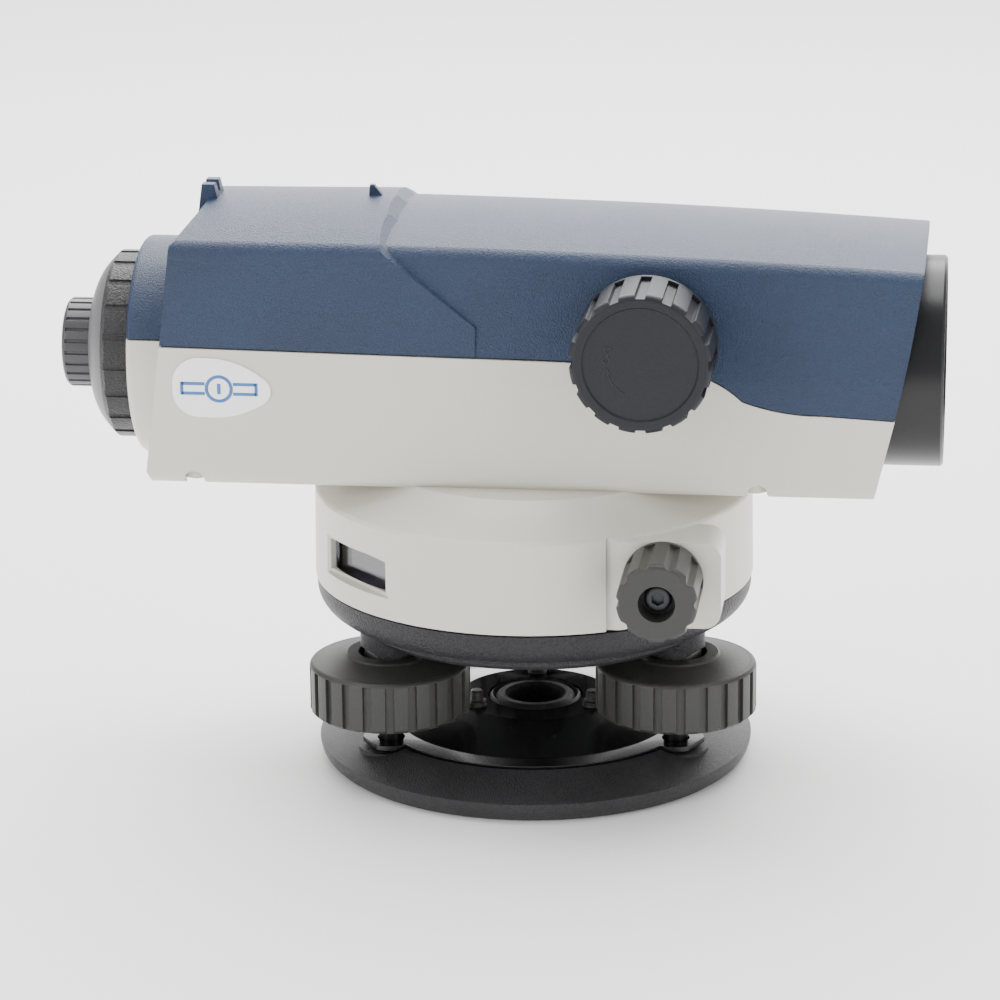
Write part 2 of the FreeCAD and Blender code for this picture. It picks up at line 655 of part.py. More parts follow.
def lower_housing():
    """Casting: turret, trough, lower half of the rear collar, bosses and screw posts."""
    long = "front_top - body_rear + 20"
    start = "body_rear - 10"
    outer = common("trough_outer", trough_section("trough_block", "0", start, long),
                   side_face("trough_side", [
                       ("body_rear + 2", "body_low - 2"), ("body_rear", "body_low + 3"),
                       ("body_rear + 4.2", "seam_rear - seam_gap"),
                       *seam_points("(-seam_gap)")[1:-1],
                       ("front_seam", "seam_front - seam_gap"),
                       ("front_foot", "body_low - 2")], "90"))
    collar = turned("collar_lower_block", [
        ("0", "collar_rear"), ("collar_radius - 1.4", "collar_rear"),
        ("arc", "collar_radius - 0.4", "collar_rear + 0.5"),
        ("collar_radius", "collar_rear + 1.6"), ("collar_radius", "body_rear + 6"),
        ("0", "body_rear + 6")])
    along_sight(collar)
    below = block("collar_lower_half", "30", "80", "80",
                  ("collar_rear - 5", "-40", "seam_rear - seam_gap - 80"))
    lower_collar = common("collar_lower", collar, below)
    turret = turret_solid()
    bosses = []
    cutters = []
    for side in (-1, 1):
        pad, relief, bore = drive_boss(side)
        bosses.append(pad)
        cutters += [relief, bore]
    seat = cylinder("vial_seat", "vial_radius + 2.8", "vial_low - turret_roof",
                    ("vial_along", "vial_across", "turret_roof"))
    well = cylinder("vial_well", "vial_radius + 2.7", "30",
                    ("vial_along", "vial_across", "vial_low"))
    shell = cut("housing_welled",
                fuse("housing_outer", outer, lower_collar, turret, seat, *bosses), well)
    hollow = common("trough_hollow", trough_section("hollow_block", "wall", start, long),
                    side_face("hollow_side", [
                        ("body_rear + 6.6", "body_low"), ("body_rear + 6.6", "seam_rear + 20"),
                        ("front_seam + 20", "seam_rear + 20"), ("front_foot + 20", "body_low"),
                    ], "90"))
    front_wall = side_face("front_wall", [
        ("front_foot - 3.5", "body_low"), ("front_foot - 3.5", "seam_rear + 30"),
        ("front_top + 30", "seam_rear + 30"), ("front_top + 30", "body_low")], "100")
    hollow = cut("trough_hollow_cut", hollow, front_wall)
    mouth = cylinder("objective_mouth", "hood_radius + 0.2", "60",
                     ("front_foot - 10", "0", "sight_height"), **TELESCOPE)
    eye_bore = cylinder("eyepiece_bore", "eye_tube_radius", "30",
                        ("collar_rear - 1", "0", "sight_height"), **TELESCOPE)
    collar_hollow = cylinder("collar_hollow", "collar_radius - wall", "6",
                             ("collar_rear + 2.4", "0", "sight_height"), **TELESCOPE)
    bearing = cylinder("bearing_bore", "seat_radius + 0.6", "30", ("0", "0", "seat_top"))
    keep(label_solid("label_slab"), "name_label")
    tools = [label_solid("label_recess"), hollow, mouth, eye_bore, collar_hollow, bearing, *cutters,
             *window_cutters(), group("vial_seat_holes", vial_screw_rods("seat_hole"))]
    casting = cut("housing_hollowed", shell, *tools, *side_notches())
    posts, holes = screw_posts("lower")
    keep(cut("housing_bored", fuse("housing_posts", casting, *posts), *holes), "lower_housing")


SCREW_PLACES = {"rear_near": ("-79", "-25"), "rear_far": ("-79", "25"),
                "front_near": ("56", "-25.6"), "front_far": ("56", "25.6")}


def screw_posts(half):
    """Screw pillars of the housing or of the cover, and the holes down them."""
    posts = []
    holes = []
    for name, (along, across) in SCREW_PLACES.items():
        meet = "seam_rear" if name.startswith("rear") else "seam_front + 3"
        if half == "lower":
            posts.append(cylinder(f"post_lower_{name}", "3.2", f"{meet} - body_low - 4 - 1",
                                  (along, across, "body_low + 1")))
            holes.append(cylinder(f"clear_{name}", "1.6", "60", (along, across, "body_low - 1")))
            holes.append(cylinder(f"counterbore_{name}", "3", "3.6",
                                  (along, across, "body_low - 1")))
        else:
            posts.append(cylinder(f"post_upper_{name}", "3.2", "20",
                                  (along, across, f"{meet} - 3.7")))
            holes.append(cylinder(f"tap_{name}", "1.45", "12", (along, across, f"{meet} - 6")))
    return posts, holes


def side_notches():
    """Half-round notches in the lower edge of both sides."""
    notches = []
    for along in ("-78.6", "56.8"):
        for side, start in (("near", "-40"), ("far", "26.5")):
            notches.append(cylinder(f"notch_{side}_{len(notches)}", "2.5", "13.5",
                                    (along, start, "body_low + 0.9"), (1, 0, 0), -90))
    return notches


def cover_screws():
    """Four long screws from below that clamp the cover to the housing."""
    screws = []
    for name, (along, across) in SCREW_PLACES.items():
        meet = "seam_rear" if name.startswith("rear") else "seam_front + 3"
        screw = turned(f"cover_screw_{name}", [
            ("0", "body_low + 0.6"), ("2.2", "body_low + 0.6"), ("2.8", "body_low + 1.1"),
            ("2.8", "body_low + 2.6"), ("1.45", "body_low + 2.6"), ("1.45", f"{meet} + 4"),
            ("0", f"{meet} + 4")])
        screws.append(place(screw, (along, across, "0")))
    keep(group("cover_screws_all", screws), "cover_screws")


# ---- top cover ----

def roof_sketch(name, along, crown, shoulder, half_width, inset, foot="sight_height - 20"):
    """A closed cross-section of the cover at one station along the telescope."""
    sketch = doc.addObject("Sketcher::SketchObject", name)
    sketch.Placement = FreeCAD.Placement(
        Vector(0, 0, 0), FreeCAD.Rotation(Vector(1, 1, 1), 120))
    sketch.setExpression("Placement.Base.x", expression(along))
    side = f"body_half_width - {inset}"
    top = f"{half_width} - {inset}"
    knee = f"{shoulder} - {inset} * 0.7"
    peak = f"{crown} - {inset}"
    draw(sketch, [
        (f"-({side})", foot), (side, foot), (side, "sight_height + 2"),
        (top, f"{knee} - 3"), ("arc", f"{top} - 0.5", f"{knee} - 1"),
        (f"{top} - 2.2", f"{knee} + 0.5"), ("arc", "0", peak),
        (f"-({top}) + 2.2", f"{knee} + 0.5"), ("arc", f"-({top}) + 0.5", f"{knee} - 1"),
        (f"-({top})", f"{knee} - 3"), (f"-({side})", "sight_height + 2")])
    return sketch


def roof_loft(name, stations, inset):
    """Loft through cover cross-sections; a station is (along, crown, shoulder, half width)."""
    loft = doc.addObject("Part::Loft", name)
    loft.Sections = [roof_sketch(f"{name}_{number}", *station, inset)
                     for number, station in enumerate(stations)]
    loft.Solid = True
    loft.Ruled = False
    doc.recompute()
    return loft


FRONT_STATIONS = [
    ("body_rear - 12", "ridge_middle + 0.6", "shoulder_height + 0.6", "shoulder_half_width"),
    ("-20", "ridge_middle", "shoulder_height", "shoulder_half_width"),
    ("42", "ridge_middle - 1.7", "shoulder_height - 1.6", "shoulder_half_width"),
    ("front_top + 12", "ridge_front - 0.9", "shoulder_height - 5", "shoulder_half_width")]
REAR_STATIONS = [
    ("body_rear - 12", "ridge_middle + hood_rise - 1.3", "shoulder_height + 0.7",
     "shoulder_half_width + hood_side_rise"),
    ("-10", "ridge_middle + hood_rise + 0.2", "shoulder_height + 0.7",
     "shoulder_half_width + hood_side_rise")]


HOOD_EDGES = [("-36", "3.6"), ("-28.4", "-3.4"), ("-14", "-8.6"), ("0", "-10.4"),
              ("14", "-8.6"), ("28.4", "-3.4"), ("36", "3.6")]


def hood_limits(inset):
    """Region of the raised rear hood: its edge is a ramp on the sides and on the roof."""
    sections = []
    for number, (across, back) in enumerate(HOOD_EDGES):
        sketch = doc.addObject("Sketcher::SketchObject", f"hood_edge_{inset}_{number}")
        sketch.Placement = FreeCAD.Placement(
            Vector(0, 0, 0), FreeCAD.Rotation(Vector(1, 0, 0), 90))
        sketch.setExpression("Placement.Base.y", expression(across))
        shift = f"({back}) - {inset}"
        draw(sketch, [
            ("body_rear - 14", "sight_height - 4"), (f"12.2 - {shift}", "sight_height - 4"),
            (f"-34.6 - {shift}", "shoulder_height"),
            (f"-50.2 - {shift}", "ridge_middle + 7.8"),
            ("body_rear - 14", "ridge_middle + 7.8")])
        sections.append(sketch)
    limits = doc.addObject("Part::Loft", f"hood_limits_{inset}")
    limits.Sections = sections
    limits.Solid = True
    limits.Ruled = True
    doc.recompute()
    return limits


def cover_mass(name, inset):
    """Front roof and raised rear hood together, before the ends are trimmed."""
    front = roof_loft(name + "_front", FRONT_STATIONS, inset)
    rear = common(name + "_rear", roof_loft(name + "_hood", REAR_STATIONS, inset),
                  hood_limits(inset))
    return fuse(name, front, rear)


def sights():
    """Notch sight at the rear and post sight ahead of it."""
    notch = slab("notch_sight", [
        ("-80.9", "ridge_middle - 3"), ("-74.9", "ridge_middle - 3"),
        ("-76.8", "ridge_middle + 4.9"), ("-79.8", "ridge_middle + 4.9")], "8.4")
    gap = slab("notch_gap", [
        ("-1", "ridge_middle + 2.4"), ("1", "ridge_middle + 2.4"),
        ("2.6", "ridge_middle + 9"), ("-2.6", "ridge_middle + 9")], "40", "YZ_Plane", "-78.3")
    post = slab("post_sight", [
        ("-39.6", "ridge_middle"), ("-34.4", "ridge_middle"), ("-38.2", "ridge_middle + 4.7"),
        ("-39.2", "ridge_middle + 4.7")], "1.6")
    return cut("notch_sight_cut", notch, gap), post


def top_cover():
    """Moulded cover with the raised rear hood, sights and upper half of the collar."""
    outside = side_face("cover_side", [
        *seam_points("seam_gap / 2")[1:-1], ("front_seam", "seam_front + seam_gap / 2"),
        ("arc", "front_seam + 3.7", "sight_height + 12"),
        ("front_shoulder", "shoulder_height"), ("front_top", "ridge_middle + 8"),
        ("body_rear + 15", "ridge_middle + 8"),
        ("arc", "body_rear + 9.4", "ridge_middle - 2.2"),
        ("body_rear + 7.2", "shoulder_height"), ("body_rear + 4.3", "seam_rear + seam_gap / 2")],
        "90")
    outer = common("cover_outer", cover_mass("cover_block", "0"), outside)
    inside = side_face("cover_inside", [
        ("body_rear + 6.6", "body_low"), ("body_rear + 9.8", "shoulder_height - 2"),
        ("arc", "body_rear + 12.4", "ridge_middle - 5"),
        ("body_rear + 18", "ridge_middle + 4"), ("front_top - 3.2", "ridge_middle + 4"),
        ("front_shoulder - 3", "shoulder_height"), ("front_foot - 3.5", "seam_front - 4"),
        ("front_foot - 3.5", "body_low")], "90")
    hollow = common("cover_hollow", cover_mass("cover_void", "wall"), inside)
    collar = turned("collar_upper_block", [
        ("0", "collar_rear"), ("collar_radius - 1.4", "collar_rear"),
        ("arc", "collar_radius - 0.4", "collar_rear + 0.5"),
        ("collar_radius", "collar_rear + 1.6"), ("collar_radius", "body_rear + 6"),
        ("0", "body_rear + 6")])
    along_sight(collar)
    above = block("collar_upper_half", "30", "80", "60",
                  ("collar_rear - 5", "-40", "seam_rear + seam_gap / 2"))
    upper_collar = common("collar_upper", collar, above)
    mouth = cylinder("cover_mouth", "hood_radius + 0.2", "60",
                     ("front_foot - 10", "0", "sight_height"), **TELESCOPE)
    eye_bore = cylinder("cover_eye_bore", "eye_tube_radius", "30",
                        ("collar_rear - 1", "0", "sight_height"), **TELESCOPE)
    collar_hollow = cylinder("cover_collar_hollow", "collar_radius - wall", "6",
                             ("collar_rear + 2.4", "0", "sight_height"), **TELESCOPE)
    knob_hole = cylinder("focus_hole", "6.2", "30", ("focus_place", "-50", "focus_height"),
                         (1, 0, 0), -90)
    posts, holes = screw_posts("upper")
    pillars = common("cover_pillars", group("cover_pillar_set", posts), outer)
    shell = cut("cover_shell", outer, hollow)
    joined = fuse("cover_joined", shell, upper_collar, pillars, *sights())
    keep(cut("cover_cut", joined, mouth, eye_bore, collar_hollow, knob_hole, *holes), "top_cover")


# ---- telescope ----

def telescope_tube():
    """Aluminium main tube with the opening for the focusing pinion and two feet."""
    tube = turned("tube_turning", [
        ("tube_bore", "tube_rear"), ("tube_radius", "tube_rear"),
        ("tube_radius", "tube_front"), ("tube_bore", "tube_front")])
    along_sight(tube)
    window = cylinder("pinion_window", "4", "26", ("focus_place", "-36", "focus_height"),
                      (1, 0, 0), -90)
    feet = [block(f"tube_foot_{number}", "8", "26", "6.4",
                  (along, "-13", "body_low + wall"))
            for number, along in enumerate(("18", "62"))]
    inner = cylinder("tube_foot_relief", "tube_radius - 0.4", "120",
                     ("tube_rear - 10", "0", "sight_height"), **TELESCOPE)
    stands = cut("tube_feet", group("tube_foot_pair", feet), inner)
    keep(cut("tube_cut", fuse("tube_on_feet", tube, stands), window), "telescope_tube")


def objective():
    """Hood, the two glasses of the objective and the rings that hold them."""
    hood = turned("hood_turning", [
        ("tube_radius + 0.05", "hood_rear"), ("hood_radius - 0.5", "hood_rear"),
        ("hood_radius", "hood_rear + 0.5"), ("hood_radius", "hood_front - 0.6"),
        ("hood_radius - 0.6", "hood_front"), ("hood_radius - 1.6", "hood_front"),
        ("hood_bore", "hood_front - 8"), ("hood_bore - 2.6", "tube_front + 3"),
        ("lens_opening", "tube_front + 3"), ("lens_opening", "tube_front + 0.1"),
        ("tube_radius + 0.05", "tube_front + 0.1")])
    keep(along_sight(hood), "objective_hood")
    keep(disc_lens("crown", "lens_radius", "5.6", "1.9", "tube_front - 4.6"), "objective_crown")
    flint = turned("flint_turning", [
        ("0", "tube_front - 10.4"), ("lens_radius", "tube_front - 11.2"),
        ("lens_radius", "tube_front - 6"), ("arc", "lens_radius * 0.52", "tube_front - 7.15"),
        ("0", "tube_front - 7.6")])
    keep(along_sight(flint), "objective_flint")
    rings = []
    for number, along in enumerate(("tube_front - 14", "tube_front - 2.6")):
        ring = turned(f"lens_ring_{number}", [
            ("lens_opening", along), ("tube_bore", along),
            ("tube_bore", f"{along} + 2.6"), ("lens_opening", f"{along} + 2.6")])
        rings.append(along_sight(ring))
    keep(group("lens_rings_all", rings), "objective_rings")


def focus_carriage():
    """Sliding tube with its rack and the focusing lens."""
    outside = "tube_bore - carriage_gap"
    sleeve = turned("carriage_turning", [
        ("focus_lens_radius", "carriage_front - 4"), ("tube_bore - 4", "carriage_front - 4"),
        ("tube_bore - 4", "carriage_rear"), (outside, "carriage_rear"),
        (outside, "carriage_front"), ("focus_lens_radius", "carriage_front")])
    along_sight(sleeve)
    clearance = block("rack_clearance", "60", "12", "16",
                      ("carriage_rear - 10", "-23", "sight_height + rack_height - 2.2"))
    rack_block = block("rack_block", "carriage_front - carriage_rear", "4", "3.2",
                       ("carriage_rear", "-15.6", "sight_height + rack_height - 4.2"))
    gap = "(pi * focus_pinion * 2 / focus_teeth)"
    teeth = []
    for number in range(20):
        along = f"carriage_rear + 1 + {number} * {gap}"
        teeth.append(block(f"rack_tooth_{number}", f"{gap} / 2", "4", "1.1",
                           (along, "-15.6", "sight_height + rack_height - 1.1")))
    body = cut("carriage_cut", sleeve, clearance)
    keep(fuse("carriage_with_rack", body, rack_block, *teeth), "focus_carriage")
    keep(disc_lens("focus_glass", "focus_lens_radius", "3.6", "0.9", "carriage_front - 2"),
         "focusing_lens")


def toothed_disc(name, root, tip, count, low, thickness):
    """A gear blank with triangular teeth, its outline worked out tooth by tooth."""
    corners = []
    teeth = int(size(count))
    for number in range(teeth):
        for part, radius in ((0.0, root), (0.25, root), (0.5, tip), (0.75, tip)):
            angle = 2 * math.pi * (number + part) / teeth
            corners.append(Vector(size(radius) * math.cos(angle),
                                  size(radius) * math.sin(angle), size(low)))
    face = Part.Face(Part.makePolygon(corners + corners[:1]))
    gear = doc.addObject("Part::Feature", name)
    gear.Shape = face.extrude(Vector(0, 0, size(thickness)))
    return gear


def focus_drive():
    """Focusing knob, the pinion shaft and the brass bush it turns in."""
    middle = ("focus_place", "0", "focus_height")
    shaft = turned("pinion_turning", [
        ("0", "11.6"), ("focus_pinion - 0.9", "11.6"), ("focus_pinion - 0.9", "18"),
        ("focus_shaft", "18"), ("focus_shaft", "focus_knob_far - 6"),
        ("0", "focus_knob_far - 6")])
    place(shaft, middle, (1, 0, 0), 90)
    pinion = toothed_disc("pinion_teeth", "focus_pinion - 0.7", "focus_pinion", "focus_teeth",
                          "11.4", "4.4")
    pinion.Placement = FreeCAD.Placement(
        Vector(size("focus_place"), 0, size("focus_height")),
        FreeCAD.Rotation(Vector(1, 0, 0), 90))
    keep(fuse("pinion_on_shaft", shaft, pinion), "focus_pinion_shaft")
    bush = turned("focus_bush_turning", [
        ("focus_shaft + bearing_gap", "18.6"), ("6", "18.6"), ("6", "31.6"), ("7.6", "31.6"),
        ("7.6", "32.8"), ("focus_shaft + bearing_gap", "32.8")])
    foot = cylinder("focus_bush_relief", "tube_radius + 0.05", "40",
                    ("focus_place - 20", "0", "sight_height"), **TELESCOPE)
    keep(cut("focus_bush_cut", place(bush, middle, (1, 0, 0), 90), foot), "focus_bush")
    knob = turned("focus_knob_turning", [
        ("focus_shaft", "focus_knob_near + 1.4"), ("11.4", "focus_knob_near + 1.4"),
        ("11.8", "focus_knob_near"), ("focus_knob_radius - 1.2", "focus_knob_near"),
        ("arc", "focus_knob_radius - 0.3", "focus_knob_near + 0.4"),
        ("focus_knob_radius", "focus_knob_near + 1.4"),
        ("focus_knob_radius", "focus_knob_far - 1.6"),
        ("arc", "focus_knob_radius - 0.4", "focus_knob_far - 0.5"),
        ("focus_knob_radius - 1.5", "focus_knob_far"),
        ("focus_face_radius + 0.4", "focus_knob_far"),
        ("focus_face_radius", "focus_knob_far - 0.5"), ("0", "focus_knob_far - 0.5"),
        ("0", "focus_knob_far - 6"), ("focus_shaft", "focus_knob_far - 6")])
    fluted(knob, [
        ("focus_knob_radius - 1", "-1.1"), ("focus_knob_radius + 1", "-1.6"),
        ("focus_knob_radius + 1", "1.6"), ("focus_knob_radius - 1", "1.1")],
        "focus_grooves", "focus_knob_near + 2.4", "focus_knob_far - focus_knob_near - 1")
    keep(place(knob, middle, (1, 0, 0), 90), "focus_knob")


# ---- eyepiece and reticle ----

def eyepiece():
    """Fixed eyepiece tube, its cover ring and cone, the sliding barrel and diopter ring."""
    tube = turned("eye_tube_turning", [
        ("eye_tube_bore", "eye_tube_rear"), ("eye_tube_radius", "eye_tube_rear"),
        ("eye_tube_radius", "eye_tube_front"), ("eye_tube_bore", "eye_tube_front")])
    keep(along_sight(tube), "eyepiece_tube")
    ring = turned("eye_ring_turning", [
        ("eye_tube_radius", "eye_ring_rear"), ("eye_ring_radius - 1.1", "eye_ring_rear"),
        ("eye_ring_radius", "eye_ring_rear + 1.2"), ("eye_ring_radius", "collar_rear"),
        ("eye_tube_radius", "collar_rear")])
    fluted(ring, [
        ("eye_ring_radius - 0.35", "-0.9"), ("eye_ring_radius + 1", "-0.9"),
        ("eye_ring_radius + 1", "0.9"), ("eye_ring_radius - 0.35", "0.9")],
        "20", "eye_ring_rear - 1", "8")
    keep(along_sight(ring), "eyepiece_lock_ring")
    cone = turned("cone_turning", [
        ("eye_tube_radius + 1.2", "eye_ring_rear"), ("cone_radius", "eye_ring_rear"),
        ("arc", "(cone_radius + cone_tip_radius) / 2 + 1.1",
         "(eye_ring_rear + cone_rear) / 2 - 0.5"),
        ("cone_tip_radius", "cone_rear"), ("diopter_radius + 0.3", "cone_rear"),
        ("diopter_radius + 0.3", "eye_ring_rear - 1.4"),
        ("eye_tube_radius + 1.2", "eye_ring_rear - 1.4")])
    keep(along_sight(cone), "eyepiece_cone")
    barrel = turned("barrel_turning", [
        ("eye_lens_radius", "barrel_rear"), ("eye_tube_bore - bearing_gap", "barrel_rear"),
        ("eye_tube_bore - bearing_gap", "barrel_front"), ("eye_lens_radius", "barrel_front")])
    keep(along_sight(barrel), "eyepiece_barrel")
    keep(disc_lens("eye_glass", "eye_lens_radius", "3.4", "1.2", "barrel_rear + 2.6"),
         "eye_lens")
    keep(disc_lens("field_glass", "eye_lens_radius", "4.2", "1.5", "barrel_rear + 14"),
         "field_lens")
    grip = turned("diopter_turning", [
        ("eye_tube_bore", "diopter_front"), ("eye_tube_bore", "barrel_rear - 0.05"),
        ("eye_lens_radius + 0.4", "diopter_rear + 1"), ("eye_lens_radius + 1", "diopter_rear"),
        ("diopter_radius - 1.2", "diopter_rear"),
        ("arc", "diopter_radius - 0.35", "diopter_rear + 0.35"),
        ("diopter_radius", "diopter_rear + 1.2"), ("diopter_radius", "diopter_front")])
    fluted(grip, [
        ("diopter_radius - 0.45", "-0.3"), ("diopter_radius + 1", "-0.9"),
        ("diopter_radius + 1", "0.9"), ("diopter_radius - 0.45", "0.3")],
        "diopter_ribs", "diopter_rear + 1", "12")
    keep(along_sight(grip), "diopter_ring")


def reticle():
    """Engraved glass in its ring, held by four adjusting screws."""
    front = "eye_tube_front"
    mount = turned("reticle_turning", [
        ("6.4", front), ("eye_tube_radius", front), ("eye_tube_radius", f"{front} + 6"),
        ("7", f"{front} + 6"), ("7", f"{front} + 2"), ("6.4", f"{front} + 2")])
    holes = []
    screws = []
    for number in range(4):
        turn = FreeCAD.Rotation(Vector(1, 0, 0), 45 + 90 * number)
        for made, radius, low, high in ((holes, "0.9", "6.8", "5"), (screws, "0.9", "7.4", "5.4")):
            rod = cylinder(f"reticle_pin_{number}_{radius}_{low}".replace(".", "_"), radius, high)
            lift = turn.multVec(Vector(0, 0, size(low)))
            rod.Placement = FreeCAD.Placement(
                Vector(size(front) + 4.5, lift.y, size("sight_height") + lift.z), turn)
            made.append(rod)
    keep(cut("reticle_cut", along_sight(mount), *holes), "reticle_mount")
    keep(group("reticle_screws_all", screws), "reticle_screws")
    glass = turned("reticle_glass", [
        ("0", f"{front} + 2"), ("7", f"{front} + 2"), ("7", f"{front} + 3.4"),
        ("0", f"{front} + 3.4")])
    keep(along_sight(glass), "reticle_disc")


# ---- compensator ----

def compensator():
    """Frame, fixed prisms, the pendulum on its four wires, and the magnetic damper."""
    outer = block("frame_block", "32", "34", "44.5", ("-56", "-17", "body_low + wall"))
    hollow = block("frame_hollow", "33", "28", "36", ("-56.5", "-14", "body_low + wall + 5"))
    sight = cylinder("frame_sight", "13", "60", ("-70", "0", "sight_height"), **TELESCOPE)
    keep(cut("frame_cut", outer, hollow, sight), "compensator_frame")
    ledge = "body_low + wall + 5"
    magnet = cylinder("magnet_block", "5", "5", ("-40", "0", ledge))
    keep(magnet, "damper_magnet")
    rear = slab("rear_prism_slab", [
        ("-55.4", "sight_height - 8"), ("-49.4", "sight_height - 8"),
        ("-49.4", "sight_height + 8"), ("-52.6", "sight_height + 8")], "27.9")
    front = slab("front_prism_slab", [
        ("-30.6", "sight_height - 8"), ("-24.6", "sight_height - 8"),
        ("-27.4", "sight_height + 8"), ("-30.6", "sight_height + 8")], "27.9")
    keep(group("fixed_prism_pair", [rear, front]), "fixed_prisms")
    carrier = block("pendulum_block", "12", "20", "16", ("-46", "-10", "sight_height - 9"))
    space = block("pendulum_space", "13", "15", "12", ("-46.5", "-7.5", "sight_height - 7"))
    bob = cylinder("pendulum_bob", "6", "3.4", ("-40", "0", "sight_height - 12.4"))
    keep(fuse("pendulum_with_bob", cut("pendulum_cut", carrier, space), bob), "pendulum")
    glass = slab("pendulum_prism_slab", [
        ("-45.4", "sight_height - 7"), ("-34.6", "sight_height - 7"),
        ("-40", "sight_height + 3.6")], "15")
    keep(glass, "pendulum_prism")
    wires = []
    for number, (along, across) in enumerate(((-45, -9), (-45, 9), (-35, -9), (-35, 9))):
        wires.append(cylinder(f"wire_{number}", "0.25", "9.3",
                              (along, across, "sight_height + 7")))
    keep(group("wires_all", wires), "suspension_wires")


# ---- tangent drive ----

def tangent_drive():
    """Worm shaft across the turret with a knob on each end, and the worm wheel."""
    middle = ("worm_distance", "0", "worm_height")
    half = "worm_length / 2"
    reach = "drive_knob_far - 6"
    shaft = turned("worm_turning", [
        ("0", f"-({reach})"), ("worm_shaft", f"-({reach})"), ("worm_shaft", f"-({half})"),
        ("worm_radius", f"-({half})"), ("worm_radius", half), ("worm_shaft", half),
        ("worm_shaft", reach), ("0", reach)])
    keep(place(shaft, middle, (1, 0, 0), 90), "worm_shaft")
    bushes = []
    screws = []
    for name, turn in (("near", 90), ("far", -90)):
        bush = turned(f"drive_bush_{name}", [
            ("worm_shaft + bearing_gap", "drive_boss - 9"), ("4.5", "drive_boss - 9"),
            ("4.5", "drive_boss"), ("worm_shaft + bearing_gap", "drive_boss")])
        bushes.append(place(bush, middle, (1, 0, 0), turn))
        knob = turned(f"drive_knob_{name}_turning", [
            ("worm_shaft", "drive_knob_near"), ("drive_knob_radius - 0.8", "drive_knob_near"),
            ("drive_knob_radius", "drive_knob_near + 0.8"),
            ("drive_knob_radius", "drive_knob_far - 1.2"),
            ("arc", "drive_knob_radius - 0.35", "drive_knob_far - 0.35"),
            ("drive_knob_radius - 1.2", "drive_knob_far"), ("drive_hole", "drive_knob_far"),
            ("drive_hole", "drive_knob_far - 6"), ("worm_shaft", "drive_knob_far - 6")])
        fluted(knob, [
            ("drive_knob_radius - 0.9", "0"), ("arc", "drive_knob_radius", "-1.5"),
            ("drive_knob_radius + 2", "-2.2"), ("drive_knob_radius + 2", "2.2"),
            ("arc", "drive_knob_radius", "1.5")],
            "drive_lobes", "drive_knob_near + 2.2", "20")
        keep(place(knob, middle, (1, 0, 0), turn), f"tangent_knob_{name}")
        screw = turned(f"drive_screw_{name}", [
            ("0", "drive_knob_far - 6"), ("3.2", "drive_knob_far - 6"),
            ("3.2", "drive_knob_far - 4.4"), ("2.6", "drive_knob_far - 3.8"),
            ("0", "drive_knob_far - 3.8")])
        screws.append(place(screw, middle, (1, 0, 0), turn))
    keep(group("drive_bushes_all", bushes), "tangent_bushes")
    keep(group("drive_screws_all", screws), "tangent_knob_screws")
    tip = "worm_distance - worm_radius - wheel_gap"
    gear = toothed_disc("wheel_teeth_ring", f"{tip} - 0.6", tip, "wheel_teeth", "wheel_low",
                        "wheel_high - wheel_low")
    bore = cylinder("wheel_bore", "seat_radius + bearing_gap", "20", ("0", "0", "50"))
    keep(cut("wheel_cut", gear, bore), "worm_wheel")
    washer = turned("friction_washer", [
        ("seat_radius + bearing_gap", "wheel_low - 1.4"), ("seat_radius + 6", "wheel_low - 1.4"),
        ("seat_radius + 6", "wheel_low"), ("seat_radius + bearing_gap", "wheel_low")])
    keep(washer, "friction_washer")


def bearing_sleeve():
    """Bronze sleeve pressed into the housing; it turns on the spindle."""
    sleeve = turned("sleeve_turning", [
        ("spindle_radius + bearing_gap", "seat_top + 0.6"), ("seat_radius + 0.6", "seat_top + 0.6"),
        ("seat_radius + 0.6", "spindle_shoulder - 0.2"),
        ("spindle_radius + bearing_gap", "spindle_shoulder - 0.2")])
    keep(sleeve, "bearing_sleeve")


# ---- label and circular bubble ----

def vial_screw_rods(name):
    """Three short rods on the bubble's flange: the screws, or the holes that take them."""
    rods = []
    for number in range(3):
        across = polar("vial_radius + 1.3", f"{90 + 120 * number}")
        rods.append(cylinder(f"{name}_{number}", "1", "6.4",
                             (f"vial_along + {across[0]}", f"vial_across + {across[1]}",
                              "vial_low - 3.4")))
    return rods


